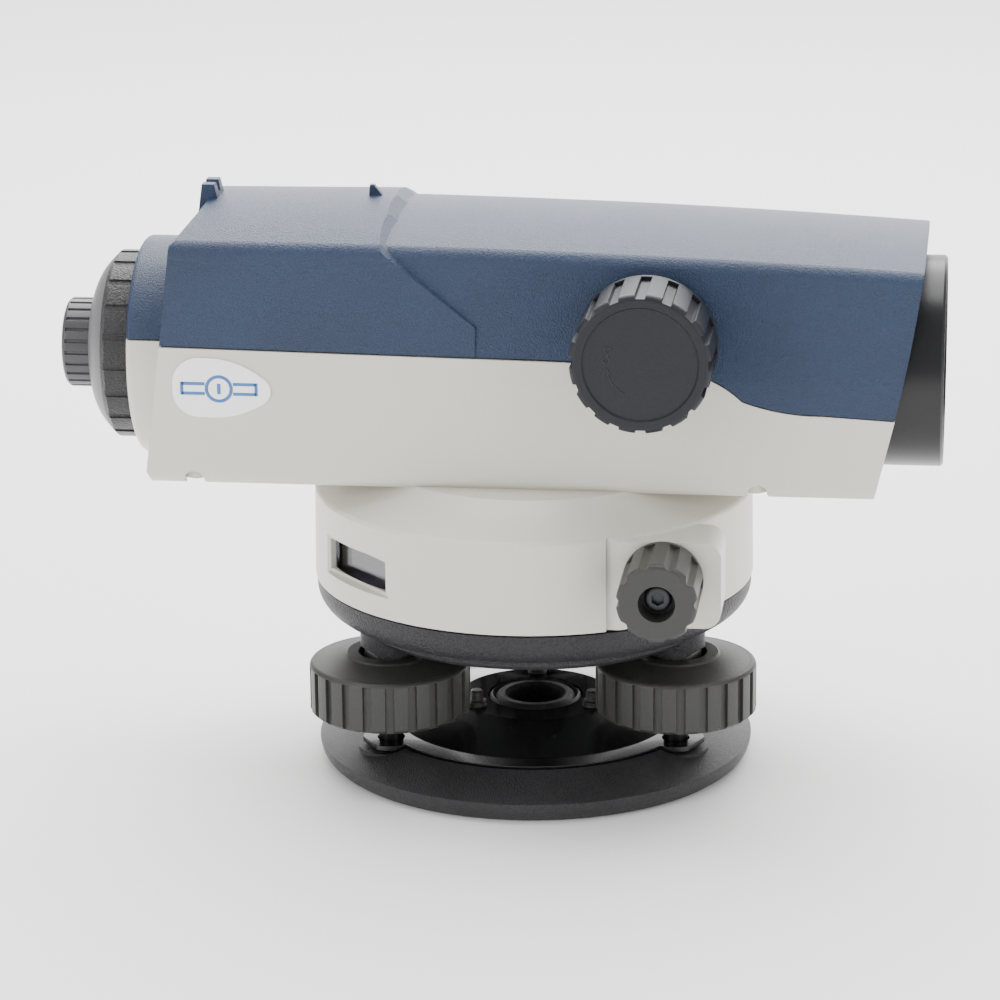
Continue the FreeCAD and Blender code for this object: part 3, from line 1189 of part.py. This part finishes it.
def circular_bubble():
    """Circular bubble on the far side of the turret, its screws and its viewing mirror."""
    spot = ("vial_along", "vial_across", "0")
    cup = turned("vial_cup", [
        ("0", "vial_low"), ("vial_radius + 2.6", "vial_low"),
        ("vial_radius + 2.6", "vial_low + 2.4"), ("vial_radius", "vial_low + 2.4"),
        ("vial_radius", "vial_high - 0.6"), ("vial_radius - 0.6", "vial_high"),
        ("vial_radius - 1.6", "vial_high"), ("vial_radius - 1.6", "vial_low + 2"),
        ("0", "vial_low + 2")])
    keep(cut("vial_cup_bored", place(cup, spot), group("vial_holes", vial_screw_rods("hole"))),
         "vial_holder")
    glass = turned("vial_glass", [
        ("0", "vial_low + 2"), ("vial_radius - 1.6", "vial_low + 2"),
        ("vial_radius - 1.6", "vial_high - 0.9"), ("vial_radius - 2.6", "vial_high - 0.4"),
        ("0", "vial_high - 0.4")])
    keep(place(glass, spot), "circular_vial")
    keep(group("vial_screws_all", vial_screw_rods("vial_screw")), "vial_screws")
    width = "vial_across + vial_radius - body_half_width"
    middle = "(vial_across + vial_radius + body_half_width) / 2"
    low = ("mirror_half", "mirror_middle - mirror_half")
    high = ("-(mirror_half)", "mirror_middle + mirror_half")
    mirror = slab("vial_mirror_slab", [
        low, high, (f"{high[0]} - 0.9", f"{high[1]} - 0.9"), (f"{low[0]} - 0.9", f"{low[1]} - 0.9")],
        f"{width} - 1")
    keep(place(mirror, ("0", middle, "0")), "vial_mirror")
    back = slab("vial_mirror_back", [
        low, (f"{low[0]} + 1.6", low[1]), (f"{low[0]} + 1.6", f"{low[1]} + 1.2"),
        (f"{high[0]} + 1", f"{high[1]} + 2"), (f"{high[0]} - 0.6", f"{high[1]} + 2"), high], width)
    keep(place(back, ("0", middle, "0")), "vial_mirror_holder")


def check_and_write():
    """Refuse any failed object or bad shape, then write one STEP file for each sub-part."""
    doc.recompute()
    bad = [thing.Label for thing in doc.Objects
           if {"Invalid", "Error"} & set(thing.State)]
    bad += [thing.Label for thing in pieces
            if thing.Shape.isNull() or not thing.Shape.isValid() or not thing.Shape.Solids]
    if bad:
        raise RuntimeError("failed objects: " + ", ".join(bad))
    os.makedirs("parts", exist_ok=True)
    for thing in pieces:
        print(f"{thing.Label:26s} {len(thing.Shape.Solids)} solids "
              f"{thing.Shape.Volume:10.1f} mm3")
        thing.Shape.exportStep(os.path.join("parts", thing.Label + ".step"))


base_plate()
spring_plate()
spring_plate_studs()
for foot_side, foot_angle in FOOT_ANGLES.items():
    foot_screw(foot_side, foot_angle)
tribrach()
centre_spindle()
circle_ring()
graduated_circle()
lower_housing()
top_cover()
cover_screws()
telescope_tube()
objective()
focus_carriage()
focus_drive()
eyepiece()
reticle()
compensator()
tangent_drive()
bearing_sleeve()
circular_bubble()
check_and_write()
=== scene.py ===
"""Looks of the automatic level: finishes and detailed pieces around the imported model."""
import math
import bpy
from mathutils import Matrix, Vector


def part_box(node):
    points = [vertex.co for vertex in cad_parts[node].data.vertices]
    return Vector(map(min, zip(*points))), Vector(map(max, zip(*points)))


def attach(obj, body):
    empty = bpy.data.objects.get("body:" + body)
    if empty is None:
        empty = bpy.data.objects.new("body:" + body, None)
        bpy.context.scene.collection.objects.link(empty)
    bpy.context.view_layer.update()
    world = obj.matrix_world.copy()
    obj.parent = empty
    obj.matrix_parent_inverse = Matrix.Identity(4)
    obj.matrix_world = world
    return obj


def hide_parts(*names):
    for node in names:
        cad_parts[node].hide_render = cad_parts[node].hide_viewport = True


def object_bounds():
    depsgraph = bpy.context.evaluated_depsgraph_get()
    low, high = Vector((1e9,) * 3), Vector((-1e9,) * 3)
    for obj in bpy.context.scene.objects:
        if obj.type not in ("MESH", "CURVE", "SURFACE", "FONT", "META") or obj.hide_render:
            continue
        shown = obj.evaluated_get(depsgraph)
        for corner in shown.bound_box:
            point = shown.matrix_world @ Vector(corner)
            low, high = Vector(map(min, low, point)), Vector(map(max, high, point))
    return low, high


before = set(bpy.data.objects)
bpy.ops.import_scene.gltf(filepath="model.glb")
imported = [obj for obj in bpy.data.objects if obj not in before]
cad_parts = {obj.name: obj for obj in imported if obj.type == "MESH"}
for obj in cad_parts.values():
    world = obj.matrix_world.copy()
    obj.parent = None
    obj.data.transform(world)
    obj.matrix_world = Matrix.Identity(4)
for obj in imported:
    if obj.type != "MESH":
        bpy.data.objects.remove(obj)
cad_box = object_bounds()
bpy.ops.object.select_all(action="DESELECT")


# Base plate: a round aluminium casting in a coarse black texture paint, with a
# bored boss for the tripod screw. The tribrach above it has the same paint, which
# has fine round grains and an uneven tone.
def wire(material, kind, **sockets):
    """Add a shader node to a material and set or link its inputs by name."""
    node = material.node_tree.nodes.new("ShaderNode" + kind)
    for name, value in sockets.items():
        socket = node.inputs[name.replace("_", " ")]
        if isinstance(value, bpy.types.NodeSocket):
            material.node_tree.links.new(value, socket)
        else:
            socket.default_value = value
    return node


def blank_finish(name):
    """A new material with an output, a shader and object coordinates."""
    material = bpy.data.materials.new(name)
    material.use_nodes = True
    material.node_tree.nodes.clear()
    shader = wire(material, "BsdfPrincipled")
    output = wire(material, "OutputMaterial")
    material.node_tree.links.new(shader.outputs["BSDF"], output.inputs["Surface"])
    place = wire(material, "TexCoord").outputs["Object"]
    return material, shader, place


def blended(material, factor, first, second, blend="MIX"):
    """A Mix node's colour, between or of two others."""
    mix = material.node_tree.nodes.new("ShaderNodeMix")
    mix.data_type = "RGBA"
    mix.blend_type = blend
    colours = [socket for socket in mix.inputs if socket.type == "RGBA"]
    for socket, value in zip([mix.inputs[0], *colours], (factor, first, second)):
        if isinstance(value, bpy.types.NodeSocket):
            material.node_tree.links.new(value, socket)
        else:
            socket.default_value = value
    return next(socket for socket in mix.outputs if socket.type == "RGBA")


def tinted(colour, amount):
    """A colour made lighter or darker, with its alpha."""
    return (*(min(1.0, channel * amount) for channel in colour), 1.0)


def speckled_finish(name, colour, roughness, grain, depth, tone_and_glint_drift=0.10, metallic=0.0,
                    coat=0.0, shine=0.5):
    """Paint or moulding with a fine grain, slow colour drift and softened edges. Its fine
    colour specks are partly the grain and partly painted glints.
    """
    edge_radius = 0.00025
    gloss_swing = 0.06
    material, shader, place = blank_finish(name)
    fine = wire(material, "TexNoise", Vector=place, Scale=grain, Detail=2.0, Roughness=0.6)
    slow = wire(material, "TexNoise", Vector=place, Scale=42.0, Detail=3.0, Roughness=0.55)
    grain_and_glint_speck = wire(material, "MapRange", Value=fine.outputs["Fac"])
    grain_and_glint_speck.inputs["From Min"].default_value = 0.35
    grain_and_glint_speck.inputs["From Max"].default_value = 0.65
    base = blended(material, slow.outputs["Fac"],
                   tinted(colour, 1 - tone_and_glint_drift), tinted(colour, 1 + tone_and_glint_drift))
    # Fine specks in the colour: partly the paint's grain, partly painted glints standing in
    # for its sparkle.
    grain_and_painted_glint = blended(material, grain_and_glint_speck.outputs["Result"],
                    tinted((1, 1, 1), 1 - tone_and_glint_drift), (1.0, 1.0, 1.0, 1.0))
    result = blended(material, 1.0, base, grain_and_painted_glint, blend="MULTIPLY")
    material.node_tree.links.new(result, shader.inputs["Base Color"])
    gloss = wire(material, "MapRange", Value=slow.outputs["Fac"])
    gloss.inputs["To Min"].default_value = roughness - gloss_swing
    gloss.inputs["To Max"].default_value = roughness + gloss_swing
    material.node_tree.links.new(gloss.outputs["Result"], shader.inputs["Roughness"])
    rim = wire(material, "Bevel", Radius=edge_radius)
    rim.samples = 4
    bump = wire(material, "Bump", Height=fine.outputs["Fac"], Normal=rim.outputs["Normal"],
                Strength=1.0, Distance=depth)
    material.node_tree.links.new(bump.outputs["Normal"], shader.inputs["Normal"])
    shader.inputs["Metallic"].default_value = metallic
    shader.inputs["Coat Weight"].default_value = coat
    shader.inputs["Specular IOR Level"].default_value = shine
    return material


def finish_nodes(material, *names):
    """Give carried-over pieces their finish."""
    for name in names:
        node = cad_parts[name]
        node.data.materials.clear()
        node.data.materials.append(material)


# The strong speck contrast of this paint is partly its grain and partly painted glints.
black_texture_paint = speckled_finish(
    "black_texture_paint", (0.026, 0.025, 0.028), 0.34, 2500.0, 0.0006, tone_and_glint_drift=0.6)
finish_nodes(black_texture_paint, "base_plate", "tribrach")


# Spring plate and friction washer: pressed spring steel in gloss black enamel. The
# plate holds the three ball ends down. Smooth, with faint waves left by the press.
gloss_black_enamel = speckled_finish(
    "gloss_black_enamel", (0.007, 0.007, 0.008), 0.2, 60.0, 0.00003, coat=0.2)
finish_nodes(gloss_black_enamel, "spring_plate", "friction_washer")


# Bare steel: bushes, spindle, worm and pinion shafts, suspension wires and the
# bubble's screws, turned and polished to a fine even grain.
bright_turned_steel = speckled_finish(
    "bright_turned_steel", (0.56, 0.55, 0.53), 0.28, 900.0, 0.00001, metallic=1.0)
finish_nodes(bright_turned_steel, "foot_bushes", "centre_spindle", "worm_shaft",
             "focus_pinion_shaft", "suspension_wires", "vial_screws")


# Levelling screws: the same steel, with the knob pressed on them. Below the knob's underside
# their ball ends and necks fade to near black, painted shade under the knob.
steel_with_painted_shade = speckled_finish(
    "steel_with_painted_shade", (0.56, 0.55, 0.53), 0.30, 900.0, 0.00001, metallic=1.0)
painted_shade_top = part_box("foot_knob_left")[0][2] + 0.001
fade_reach = 0.0003
steel_nodes = steel_with_painted_shade.node_tree.nodes
steel_shader = next(n for n in steel_nodes if n.bl_idname == "ShaderNodeBsdfPrincipled")
steel_place = next(n for n in steel_nodes if n.bl_idname == "ShaderNodeTexCoord")
steel_axes = wire(steel_with_painted_shade, "SeparateXYZ", Vector=steel_place.outputs["Object"])
painted_shade_fade = wire(steel_with_painted_shade, "MapRange", Value=steel_axes.outputs["Z"])
painted_shade_fade.inputs["From Min"].default_value = painted_shade_top - fade_reach
painted_shade_fade.inputs["From Max"].default_value = painted_shade_top + fade_reach
bare_colour = steel_shader.inputs["Base Color"].links[0].from_socket
# Painted shade: near black below the knob's underside, fading to bare steel over a fraction of
# a millimetre.
painted_shade_colour = blended(steel_with_painted_shade, painted_shade_fade.outputs["Result"],
                      (0.02, 0.02, 0.022, 1.0), bare_colour)
steel_with_painted_shade.node_tree.links.new(painted_shade_colour, steel_shader.inputs["Base Color"])
finish_nodes(steel_with_painted_shade, "foot_screw_left", "foot_screw_right", "foot_screw_rear")


# Studs of the spring plate: three short threaded steel pins. The thread shows
# as fine rings one half millimetre apart round each pin.
def ringed_metal(name, colour, roughness, pitch, depth, axis):
    """Bare metal with rings or a thread cut round one axis."""
    material = speckled_finish(name, colour, roughness, 900.0, 0.00001, metallic=1.0)
    place = next(n for n in material.node_tree.nodes if n.bl_idname == "ShaderNodeTexCoord")
    grain = next(n for n in material.node_tree.nodes if n.bl_idname == "ShaderNodeBump")
    shader = next(n for n in material.node_tree.nodes
                  if n.bl_idname == "ShaderNodeBsdfPrincipled")
    rings = wire(material, "TexWave", Vector=place.outputs["Object"],
                 Scale=math.pi / (10 * pitch))
    rings.bands_direction = axis
    thread = wire(material, "Bump", Height=rings.outputs["Fac"], Strength=1.0,
                  Distance=depth, Normal=grain.outputs["Normal"])
    material.node_tree.links.new(thread.outputs["Normal"], shader.inputs["Normal"])
    return material


threaded_steel = ringed_metal("threaded_steel", (0.20, 0.195, 0.19), 0.36, 0.0005, 0.0002, "Z")
finish_nodes(threaded_steel, "spring_plate_studs")


# Blackened fasteners and the damper's magnet: steel with a dark oxide coat. The
# screws clamp the spindle, the cover and the reticle ring.
blackened_steel = speckled_finish(
    "blackened_steel", (0.05, 0.05, 0.055), 0.4, 800.0, 0.00002, metallic=0.8)
finish_nodes(blackened_steel, "spindle_screws", "cover_screws", "reticle_screws",
             "damper_magnet")


# Levelling and tangent knobs: dark warm-grey mouldings with a satin, very finely
# eroded skin; their ribs are part of the moulding.
warm_knob_moulding = speckled_finish(
    "warm_knob_moulding", (0.034, 0.034, 0.031), 0.42, 2300.0, 0.00008, shine=0.4)
finish_nodes(warm_knob_moulding, "foot_knob_left", "foot_knob_right", "foot_knob_rear",
             "tangent_knob_near", "tangent_knob_far")


# Focusing knob: the same moulding in a cooler grey, with the far-distance sign
# and a turning arrow sunk into the left of its face.
cool_knob_moulding = speckled_finish(
    "cool_knob_moulding", (0.011, 0.012, 0.016), 0.42, 2300.0, 0.00008, shine=0.3)
finish_nodes(cool_knob_moulding, "focus_knob")
engraved_black = speckled_finish(
    "engraved_black", (0.012, 0.012, 0.014), 0.6, 2000.0, 0.00001)
knob_low, knob_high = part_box("focus_knob")
knob_middle = Vector(((knob_low[0] + knob_high[0]) / 2, knob_low[1] + 0.0005,
                      (knob_low[2] + knob_high[2]) / 2))


def joined(pieces, name):
    """Join several pieces into the first one, under a new name."""
    bpy.ops.object.select_all(action="DESELECT")
    for piece in pieces:
        piece.select_set(True)
    bpy.context.view_layer.objects.active = pieces[0]
    bpy.ops.object.join()
    whole = bpy.context.object
    whole.name = name
    return whole


def engraved_line(name, route, thickness, closed=False):
    """A smooth line through points on the knob's face, made into a mesh."""
    bpy.ops.curve.primitive_nurbs_path_add(location=(0, 0, 0))
    line = bpy.context.object
    line.name = name
    spline = line.data.splines[0]
    spline.points.add(len(route) - len(spline.points))
    for point, (across, up) in zip(spline.points, route):
        point.co = (*(knob_middle + Vector((across, 0, up))), 1.0)
    spline.use_cyclic_u = closed
    spline.use_endpoint_u = not closed
    spline.order_u = 3
    line.data.bevel_depth = thickness / 2
    line.data.bevel_resolution = 2
    bpy.ops.object.convert(target="MESH")
    return bpy.context.object


sign_middle = (-0.0077, 0.0021)
sign_size = 0.0019
sign_lean = math.radians(80)
sign_steps = 16
sign_route = []
for step in range(sign_steps):
    angle = 2 * math.pi * step / sign_steps
    wide = sign_size * math.cos(angle)
    tall = 0.85 * sign_size * math.sin(2 * angle) / 2
    sign_route.append(
        (sign_middle[0] + wide * math.cos(sign_lean) - tall * math.sin(sign_lean),
         sign_middle[1] + wide * math.sin(sign_lean) + tall * math.cos(sign_lean)))
arrow_radius = 0.0080
arrow_route = [(arrow_radius * math.cos(math.radians(turn)),
                arrow_radius * math.sin(math.radians(turn)))
               for turn in range(192, 252, 10)]
arrow_tip = Vector(arrow_route[0])
arrow_head = [tuple(arrow_tip + Vector(barb)) for barb in
              ((-0.0010, -0.0010), (-0.0005, -0.0002), (0.0, 0.0009), (0.0004, -0.0002),
               (0.0009, -0.0010))]
groove_width = 0.0004
far_sign = joined([engraved_line("far_sign", sign_route, groove_width, closed=True),
                   engraved_line("arrow_shaft", arrow_route, groove_width),
                   engraved_line("arrow_head", arrow_head, groove_width)], "focus_knob_sign")
far_sign.data.materials.append(engraved_black)
bpy.ops.object.select_all(action="DESELECT")
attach(far_sign, "focus")


# Tangent knobs' screws: a blackened steel pan head with a hexagon socket, deep in
# each knob. It pulls the knob onto the end of the worm shaft.
def recessed_screw(name, centre, radius, height, side):
    """A pan head facing along -Y or +Y, bevelled, with a hexagon socket cut into it."""
    bpy.ops.mesh.primitive_cylinder_add(vertices=48, radius=radius, depth=height,
                                        location=centre, rotation=(math.pi / 2, 0, 0))
    head = bpy.context.object
    head.name = name
    bpy.ops.object.transform_apply(location=True, rotation=True, scale=True)
    crown = head.modifiers.new("crown", "BEVEL")
    crown.width = height * 0.35
    crown.segments = 4
    crown.limit_method = "ANGLE"
    bpy.ops.object.modifier_apply(modifier=crown.name)
    face = Vector(centre) + Vector((0, side * height / 2, 0))
    bpy.ops.mesh.primitive_cylinder_add(vertices=6, radius=radius * 0.5, depth=height * 1.3,
                                        location=face, rotation=(math.pi / 2, 0, 0))
    key = bpy.context.object
    socket = head.modifiers.new("socket", "BOOLEAN")
    socket.object = key
    socket.operation = "DIFFERENCE"
    bpy.context.view_layer.objects.active = head
    bpy.ops.object.modifier_apply(modifier=socket.name)
    bpy.data.objects.remove(key)
    return head


screw_low, screw_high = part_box("tangent_knob_screws")
screw_radius = (screw_high[0] - screw_low[0]) / 2
screw_height = 0.0022
screw_heads = []
for side, end in ((-1, screw_low[1]), (1, screw_high[1])):
    screw_centre = ((screw_low[0] + screw_high[0]) / 2, end - side * screw_height / 2,
                    (screw_low[2] + screw_high[2]) / 2)
    screw_heads.append(recessed_screw(f"tangent_screw_{side + 1}", screw_centre,
                                      screw_radius, screw_height, side))
tangent_screws = joined(screw_heads, "tangent_screw_heads")
bpy.ops.object.shade_smooth_by_angle(angle=math.radians(35))
tangent_screws.data.materials.append(blackened_steel)
bpy.ops.object.select_all(action="DESELECT")
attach(tangent_screws, "tangent")
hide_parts("tangent_knob_screws")


# Setting ring, bubble holders and eyepiece lock ring: black mouldings with a coarse
# spark texture from the mould. The lock ring is a little glossier than the others.
black_moulding = speckled_finish(
    "black_moulding", (0.024, 0.022, 0.027), 0.42, 1700.0, 0.0006, tone_and_glint_drift=0.35, shine=0.35)
finish_nodes(black_moulding, "circle_ring", "vial_holder", "vial_mirror_holder")
glossy_black_moulding = speckled_finish(
    "glossy_black_moulding", (0.020, 0.019, 0.021), 0.32, 1900.0, 0.0004, tone_and_glint_drift=0.3, shine=0.4)
finish_nodes(glossy_black_moulding, "eyepiece_lock_ring")


# Eyepiece cone and dioptre ring: smooth mouldings, the cone in mid grey and the
# ring, which is turned to sharpen the reticle, in a darker one.
smooth_grey_moulding = speckled_finish(
    "smooth_grey_moulding", (0.125, 0.120, 0.126), 0.38, 1500.0, 0.00002)
finish_nodes(smooth_grey_moulding, "eyepiece_cone")
dark_ribbed_moulding = speckled_finish(
    "dark_ribbed_moulding", (0.052, 0.051, 0.056), 0.34, 1500.0, 0.00003)
finish_nodes(dark_ribbed_moulding, "diopter_ring")


# Lower housing: cast aluminium in satin warm-grey paint, nearly smooth. The turret
# and the trough below the telescope are one casting.
warm_grey_paint = speckled_finish(
    "warm_grey_paint", (0.625, 0.602, 0.535), 0.36, 1100.0, 0.000015, tone_and_glint_drift=0.015)
finish_nodes(warm_grey_paint, "lower_housing")


# Top cover: moulded, in fine-textured blue paint. Four screws from below clamp it
# to the housing.
# The speck contrast of this paint is partly its grain and partly painted glints.
blue_texture_paint = speckled_finish(
    "blue_texture_paint", (0.013, 0.031, 0.077), 0.35, 2600.0, 0.0003, tone_and_glint_drift=0.28, shine=0.42)
finish_nodes(blue_texture_paint, "top_cover")


# Telescope and eyepiece tubes, objective hood and rings, and the inner mounts:
# turned aluminium, anodised black against stray light.
black_anodised = speckled_finish(
    "black_anodised", (0.006, 0.006, 0.0075), 0.30, 1200.0, 0.00002, shine=0.4)
finish_nodes(black_anodised, "telescope_tube", "objective_hood", "objective_rings",
             "eyepiece_tube", "reticle_mount", "focus_carriage", "eyepiece_barrel")


# Bare aluminium and brass inside: machined compensator parts, turned bushes,
# the worm wheel and the bearing sleeve.
machined_aluminium = speckled_finish(
    "machined_aluminium", (0.55, 0.55, 0.56), 0.35, 700.0, 0.00002, metallic=1.0)
finish_nodes(machined_aluminium, "compensator_frame", "pendulum")
turned_brass = speckled_finish(
    "turned_brass", (0.62, 0.42, 0.17), 0.3, 700.0, 0.00002, metallic=1.0)
finish_nodes(turned_brass, "spindle_nut", "focus_bush", "tangent_bushes",
             "bearing_sleeve", "worm_wheel")


# Horizontal circle: a matt silver-white cone with a fine black line at every
# degree and a longer one at every fifth and tenth.
def number(material, operation, *values):
    """A Math node's result."""
    node = material.node_tree.nodes.new("ShaderNodeMath")
    node.operation = operation
    for socket, value in zip(node.inputs, values):
        if isinstance(value, bpy.types.NodeSocket):
            material.node_tree.links.new(value, socket)
        else:
            socket.default_value = value
    return node.outputs[0]


def graduated_finish(name, colour, ink, outer_radius):
    """Scale lines by angle round Z, of three lengths measured in from the rim."""
    material, shader, place = blank_finish(name)
    axes = wire(material, "SeparateXYZ", Vector=place)
    turn = number(material, "ARCTAN2", axes.outputs["Y"], axes.outputs["X"])
    degree = number(material, "MULTIPLY", turn, 180 / math.pi)
    squares = number(material, "ADD", number(material, "POWER", axes.outputs["X"], 2.0),
                     number(material, "POWER", axes.outputs["Y"], 2.0))
    inset = number(material, "SUBTRACT", outer_radius, number(material, "SQRT", squares))
    half_line = 0.11
    inked = 0.0
    for spacing, reach in ((1.0, 0.0035), (5.0, 0.0055), (10.0, 0.0075)):
        beat = number(material, "PINGPONG", degree, spacing / 2)
        near_line = number(material, "GREATER_THAN", beat, spacing / 2 - half_line)
        short_enough = number(material, "LESS_THAN", inset, reach)
        line = number(material, "MULTIPLY", near_line, short_enough)
        inked = number(material, "MAXIMUM", line, inked)
    grain = wire(material, "TexNoise", Vector=place, Scale=900.0, Detail=2.0)
    silver = blended(material, grain.outputs["Fac"], tinted(colour, 0.9),
                     tinted(colour, 1.1))
    lined = blended(material, inked, silver, tinted(ink, 1.0))
    material.node_tree.links.new(lined, shader.inputs["Base Color"])
    shader.inputs["Roughness"].default_value = 0.4
    shader.inputs["Metallic"].default_value = 0.25
    return material


scale_low, scale_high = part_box("graduated_circle")
silver_scale = graduated_finish("silver_scale", (0.26, 0.25, 0.31), (0.02, 0.02, 0.03),
                                (scale_high[0] - scale_low[0]) / 2)
finish_nodes(silver_scale, "graduated_circle")


# Label: a white domed resin badge in a recess of the housing. It carries a plain
# blue pictogram of a bubble between two lines.
label_resin = speckled_finish(
    "label_resin", (0.97, 0.97, 0.97), 0.2, 300.0, 0.00001, tone_and_glint_drift=0.015, coat=0.5)
finish_nodes(label_resin, "name_label")
label_low, label_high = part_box("name_label")
badge_middle = Vector(((label_low[0] + label_high[0]) / 2 - 0.0006, label_low[1],
                       (label_low[2] + label_high[2]) / 2 - 0.0002))


def printed_bar(across, up, length, width):
    """A flat bar of ink with softened corners, a few hundredths proud of the badge."""
    bpy.ops.mesh.primitive_cube_add(
        size=1.0, location=badge_middle + Vector((across, 0, up)),
        scale=(length, 0.00012, width))
    bar = bpy.context.object
    bpy.ops.object.transform_apply(location=True, rotation=True, scale=True)
    ends = bar.modifiers.new("ends", "BEVEL")
    ends.width = 0.00004
    ends.segments = 2
    bpy.ops.object.modifier_apply(modifier=ends.name)
    return bar


bpy.ops.mesh.primitive_torus_add(
    major_segments=64, minor_segments=12, major_radius=0.0030, minor_radius=0.00042,
    location=badge_middle, rotation=(math.pi / 2, 0, 0))
bubble_ring = bpy.context.object
bpy.ops.object.transform_apply(location=True, rotation=True, scale=True)
bpy.ops.object.mode_set(mode="EDIT")
bpy.ops.mesh.select_all(action="SELECT")
bpy.ops.transform.resize(value=(1, 0.15, 1), center_override=badge_middle)
bpy.ops.object.mode_set(mode="OBJECT")
badge_marks = [bubble_ring]
line_width = 0.0008
arm_length = 0.0056
for side in (-1, 1):
    badge_marks.append(printed_bar(side * 0.0062, 0.0012, arm_length, line_width))
    badge_marks.append(printed_bar(side * 0.0062, -0.0012, arm_length, line_width))
    badge_marks.append(printed_bar(side * 0.0090, 0.0, line_width, 0.0032))
badge_marks.append(printed_bar(0, 0, 0.0009, 0.0026))
bubble_badge = joined(badge_marks, "label_pictogram")
badge_ink = speckled_finish("badge_ink", (0.05, 0.16, 0.42), 0.3, 900.0, 0.000004)
bubble_badge.data.materials.append(badge_ink)
bpy.ops.object.select_all(action="DESELECT")
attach(bubble_badge, "alidade")


# Mirror over the bubble: silvered glass in a moulded holder, so that the bubble is
# seen from the eyepiece.
silvered_glass = speckled_finish(
    "silvered_glass", (0.85, 0.87, 0.88), 0.05, 100.0, 0.000002, metallic=1.0)
finish_nodes(silvered_glass, "vial_mirror")


# Lenses, prisms, reticle disc and circle window: clear glass. All the lenses have a
# thin coating that tints their reflections.
def clear_finish(name, colour, coating=0.0):
    """Clear glass with a faint tint and, where given, a thin-film coating."""
    material, shader, place = blank_finish(name)
    haze = wire(material, "TexNoise", Vector=place, Scale=120.0, Detail=2.0)
    tint = blended(material, haze.outputs["Fac"],
                   tinted(colour, 0.97), tinted(colour, 1.0))
    material.node_tree.links.new(tint, shader.inputs["Base Color"])
    shader.inputs["Roughness"].default_value = 0.02
    shader.inputs["Transmission Weight"].default_value = 1.0
    shader.inputs["IOR"].default_value = 1.5
    shader.inputs["Thin Film Thickness"].default_value = coating
    return material


coated_glass = clear_finish("coated_glass", (0.88, 0.94, 0.97), coating=420.0)
finish_nodes(coated_glass, "objective_crown", "objective_flint", "focusing_lens",
             "eye_lens", "field_lens")
plain_glass = clear_finish("plain_glass", (0.90, 0.90, 0.95))
finish_nodes(plain_glass, "fixed_prisms", "pendulum_prism", "reticle_disc",
             "circle_window")


# Circular bubble: a yellow-green spirit vial, one solid of glass, with a black
# centring ring printed on its top. The air bubble is not modelled.
spirit_glass = clear_finish("spirit_glass", (0.80, 0.92, 0.30))
finish_nodes(spirit_glass, "circular_vial")
vial_low, vial_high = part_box("circular_vial")
vial_middle = Vector(((vial_low[0] + vial_high[0]) / 2, (vial_low[1] + vial_high[1]) / 2,
                      vial_high[2]))
bpy.ops.mesh.primitive_torus_add(
    major_segments=72, minor_segments=8, major_radius=0.0026, minor_radius=0.00012,
    location=vial_middle)
centring_ring = bpy.context.object
centring_ring.name = "vial_centring_ring"
bpy.ops.object.transform_apply(location=True, rotation=True, scale=True)
bpy.ops.object.shade_smooth()
centring_ring.data.materials.append(engraved_black)
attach(centring_ring, "alidade")
bpy.ops.object.select_all(action="DESELECT")


# Floor: a plain pale matt sheet under the level. It is part of the stage and not
# of the instrument.
bpy.ops.mesh.primitive_plane_add(size=12.0, location=(0, 0, cad_box[0][2] - 0.0002))
floor = bpy.context.object
floor.name = "floor"
pale_floor, floor_shader, _ = blank_finish("pale_floor")
floor_shader.inputs["Base Color"].default_value = (0.93, 0.93, 0.93, 1.0)
floor_shader.inputs["Roughness"].default_value = 0.8
floor.data.materials.append(pale_floor)


# Light: a pale surround, a broad light far behind, one overhead and a little
# behind, and two weaker ones in front.
world = bpy.data.worlds.new("studio")
bpy.context.scene.world = world
world.use_nodes = True
world.node_tree.nodes["Background"].inputs["Color"].default_value = (1, 1, 1, 1)
world.node_tree.nodes["Background"].inputs["Strength"].default_value = 0.80


def soft_light(name, place, aim, size, power):
    """A square area light aimed at a point."""
    bpy.ops.object.light_add(type="AREA", location=place)
    light = bpy.context.object
    light.name = name
    light.data.size = size
    light.data.energy = power
    toward = Vector(aim) - Vector(place)
    light.rotation_euler = toward.to_track_quat("-Z", "Y").to_euler()


middle = (0.0, 0.0, 0.09)
soft_light("backdrop_glow", (0.0, 2.2, 0.85), middle, 2.6, 45.0)
soft_light("overhead", (0.0, 0.45, 1.0), middle, 1.4, 42.0)
soft_light("front_left", (-0.9, -1.0, 0.6), middle, 0.9, 8.5)
soft_light("front_right", (1.0, -0.8, 0.45), middle, 0.7, 5.0)


# Camera: a long lens above the telescope, on the focusing knob's side. It looks
# down by 17 degrees and is rolled by half a degree.
camera_place = Vector((0.11079, -0.94017, 0.35480))
camera_turn = math.radians(7.226)
camera_tilt = math.radians(17.062)
camera_roll = math.radians(-0.606)
bpy.ops.object.camera_add(location=camera_place)
camera = bpy.context.object
gaze = Vector((-math.sin(camera_turn) * math.cos(camera_tilt),
               math.cos(camera_turn) * math.cos(camera_tilt), -math.sin(camera_tilt)))
level_view = gaze.to_track_quat("-Z", "Y").to_matrix()
camera.rotation_euler = (level_view @ Matrix.Rotation(camera_roll, 3, "Z")).to_euler()
camera.data.sensor_width = 36.0
camera.data.lens = 144.82
bpy.context.scene.camera = camera
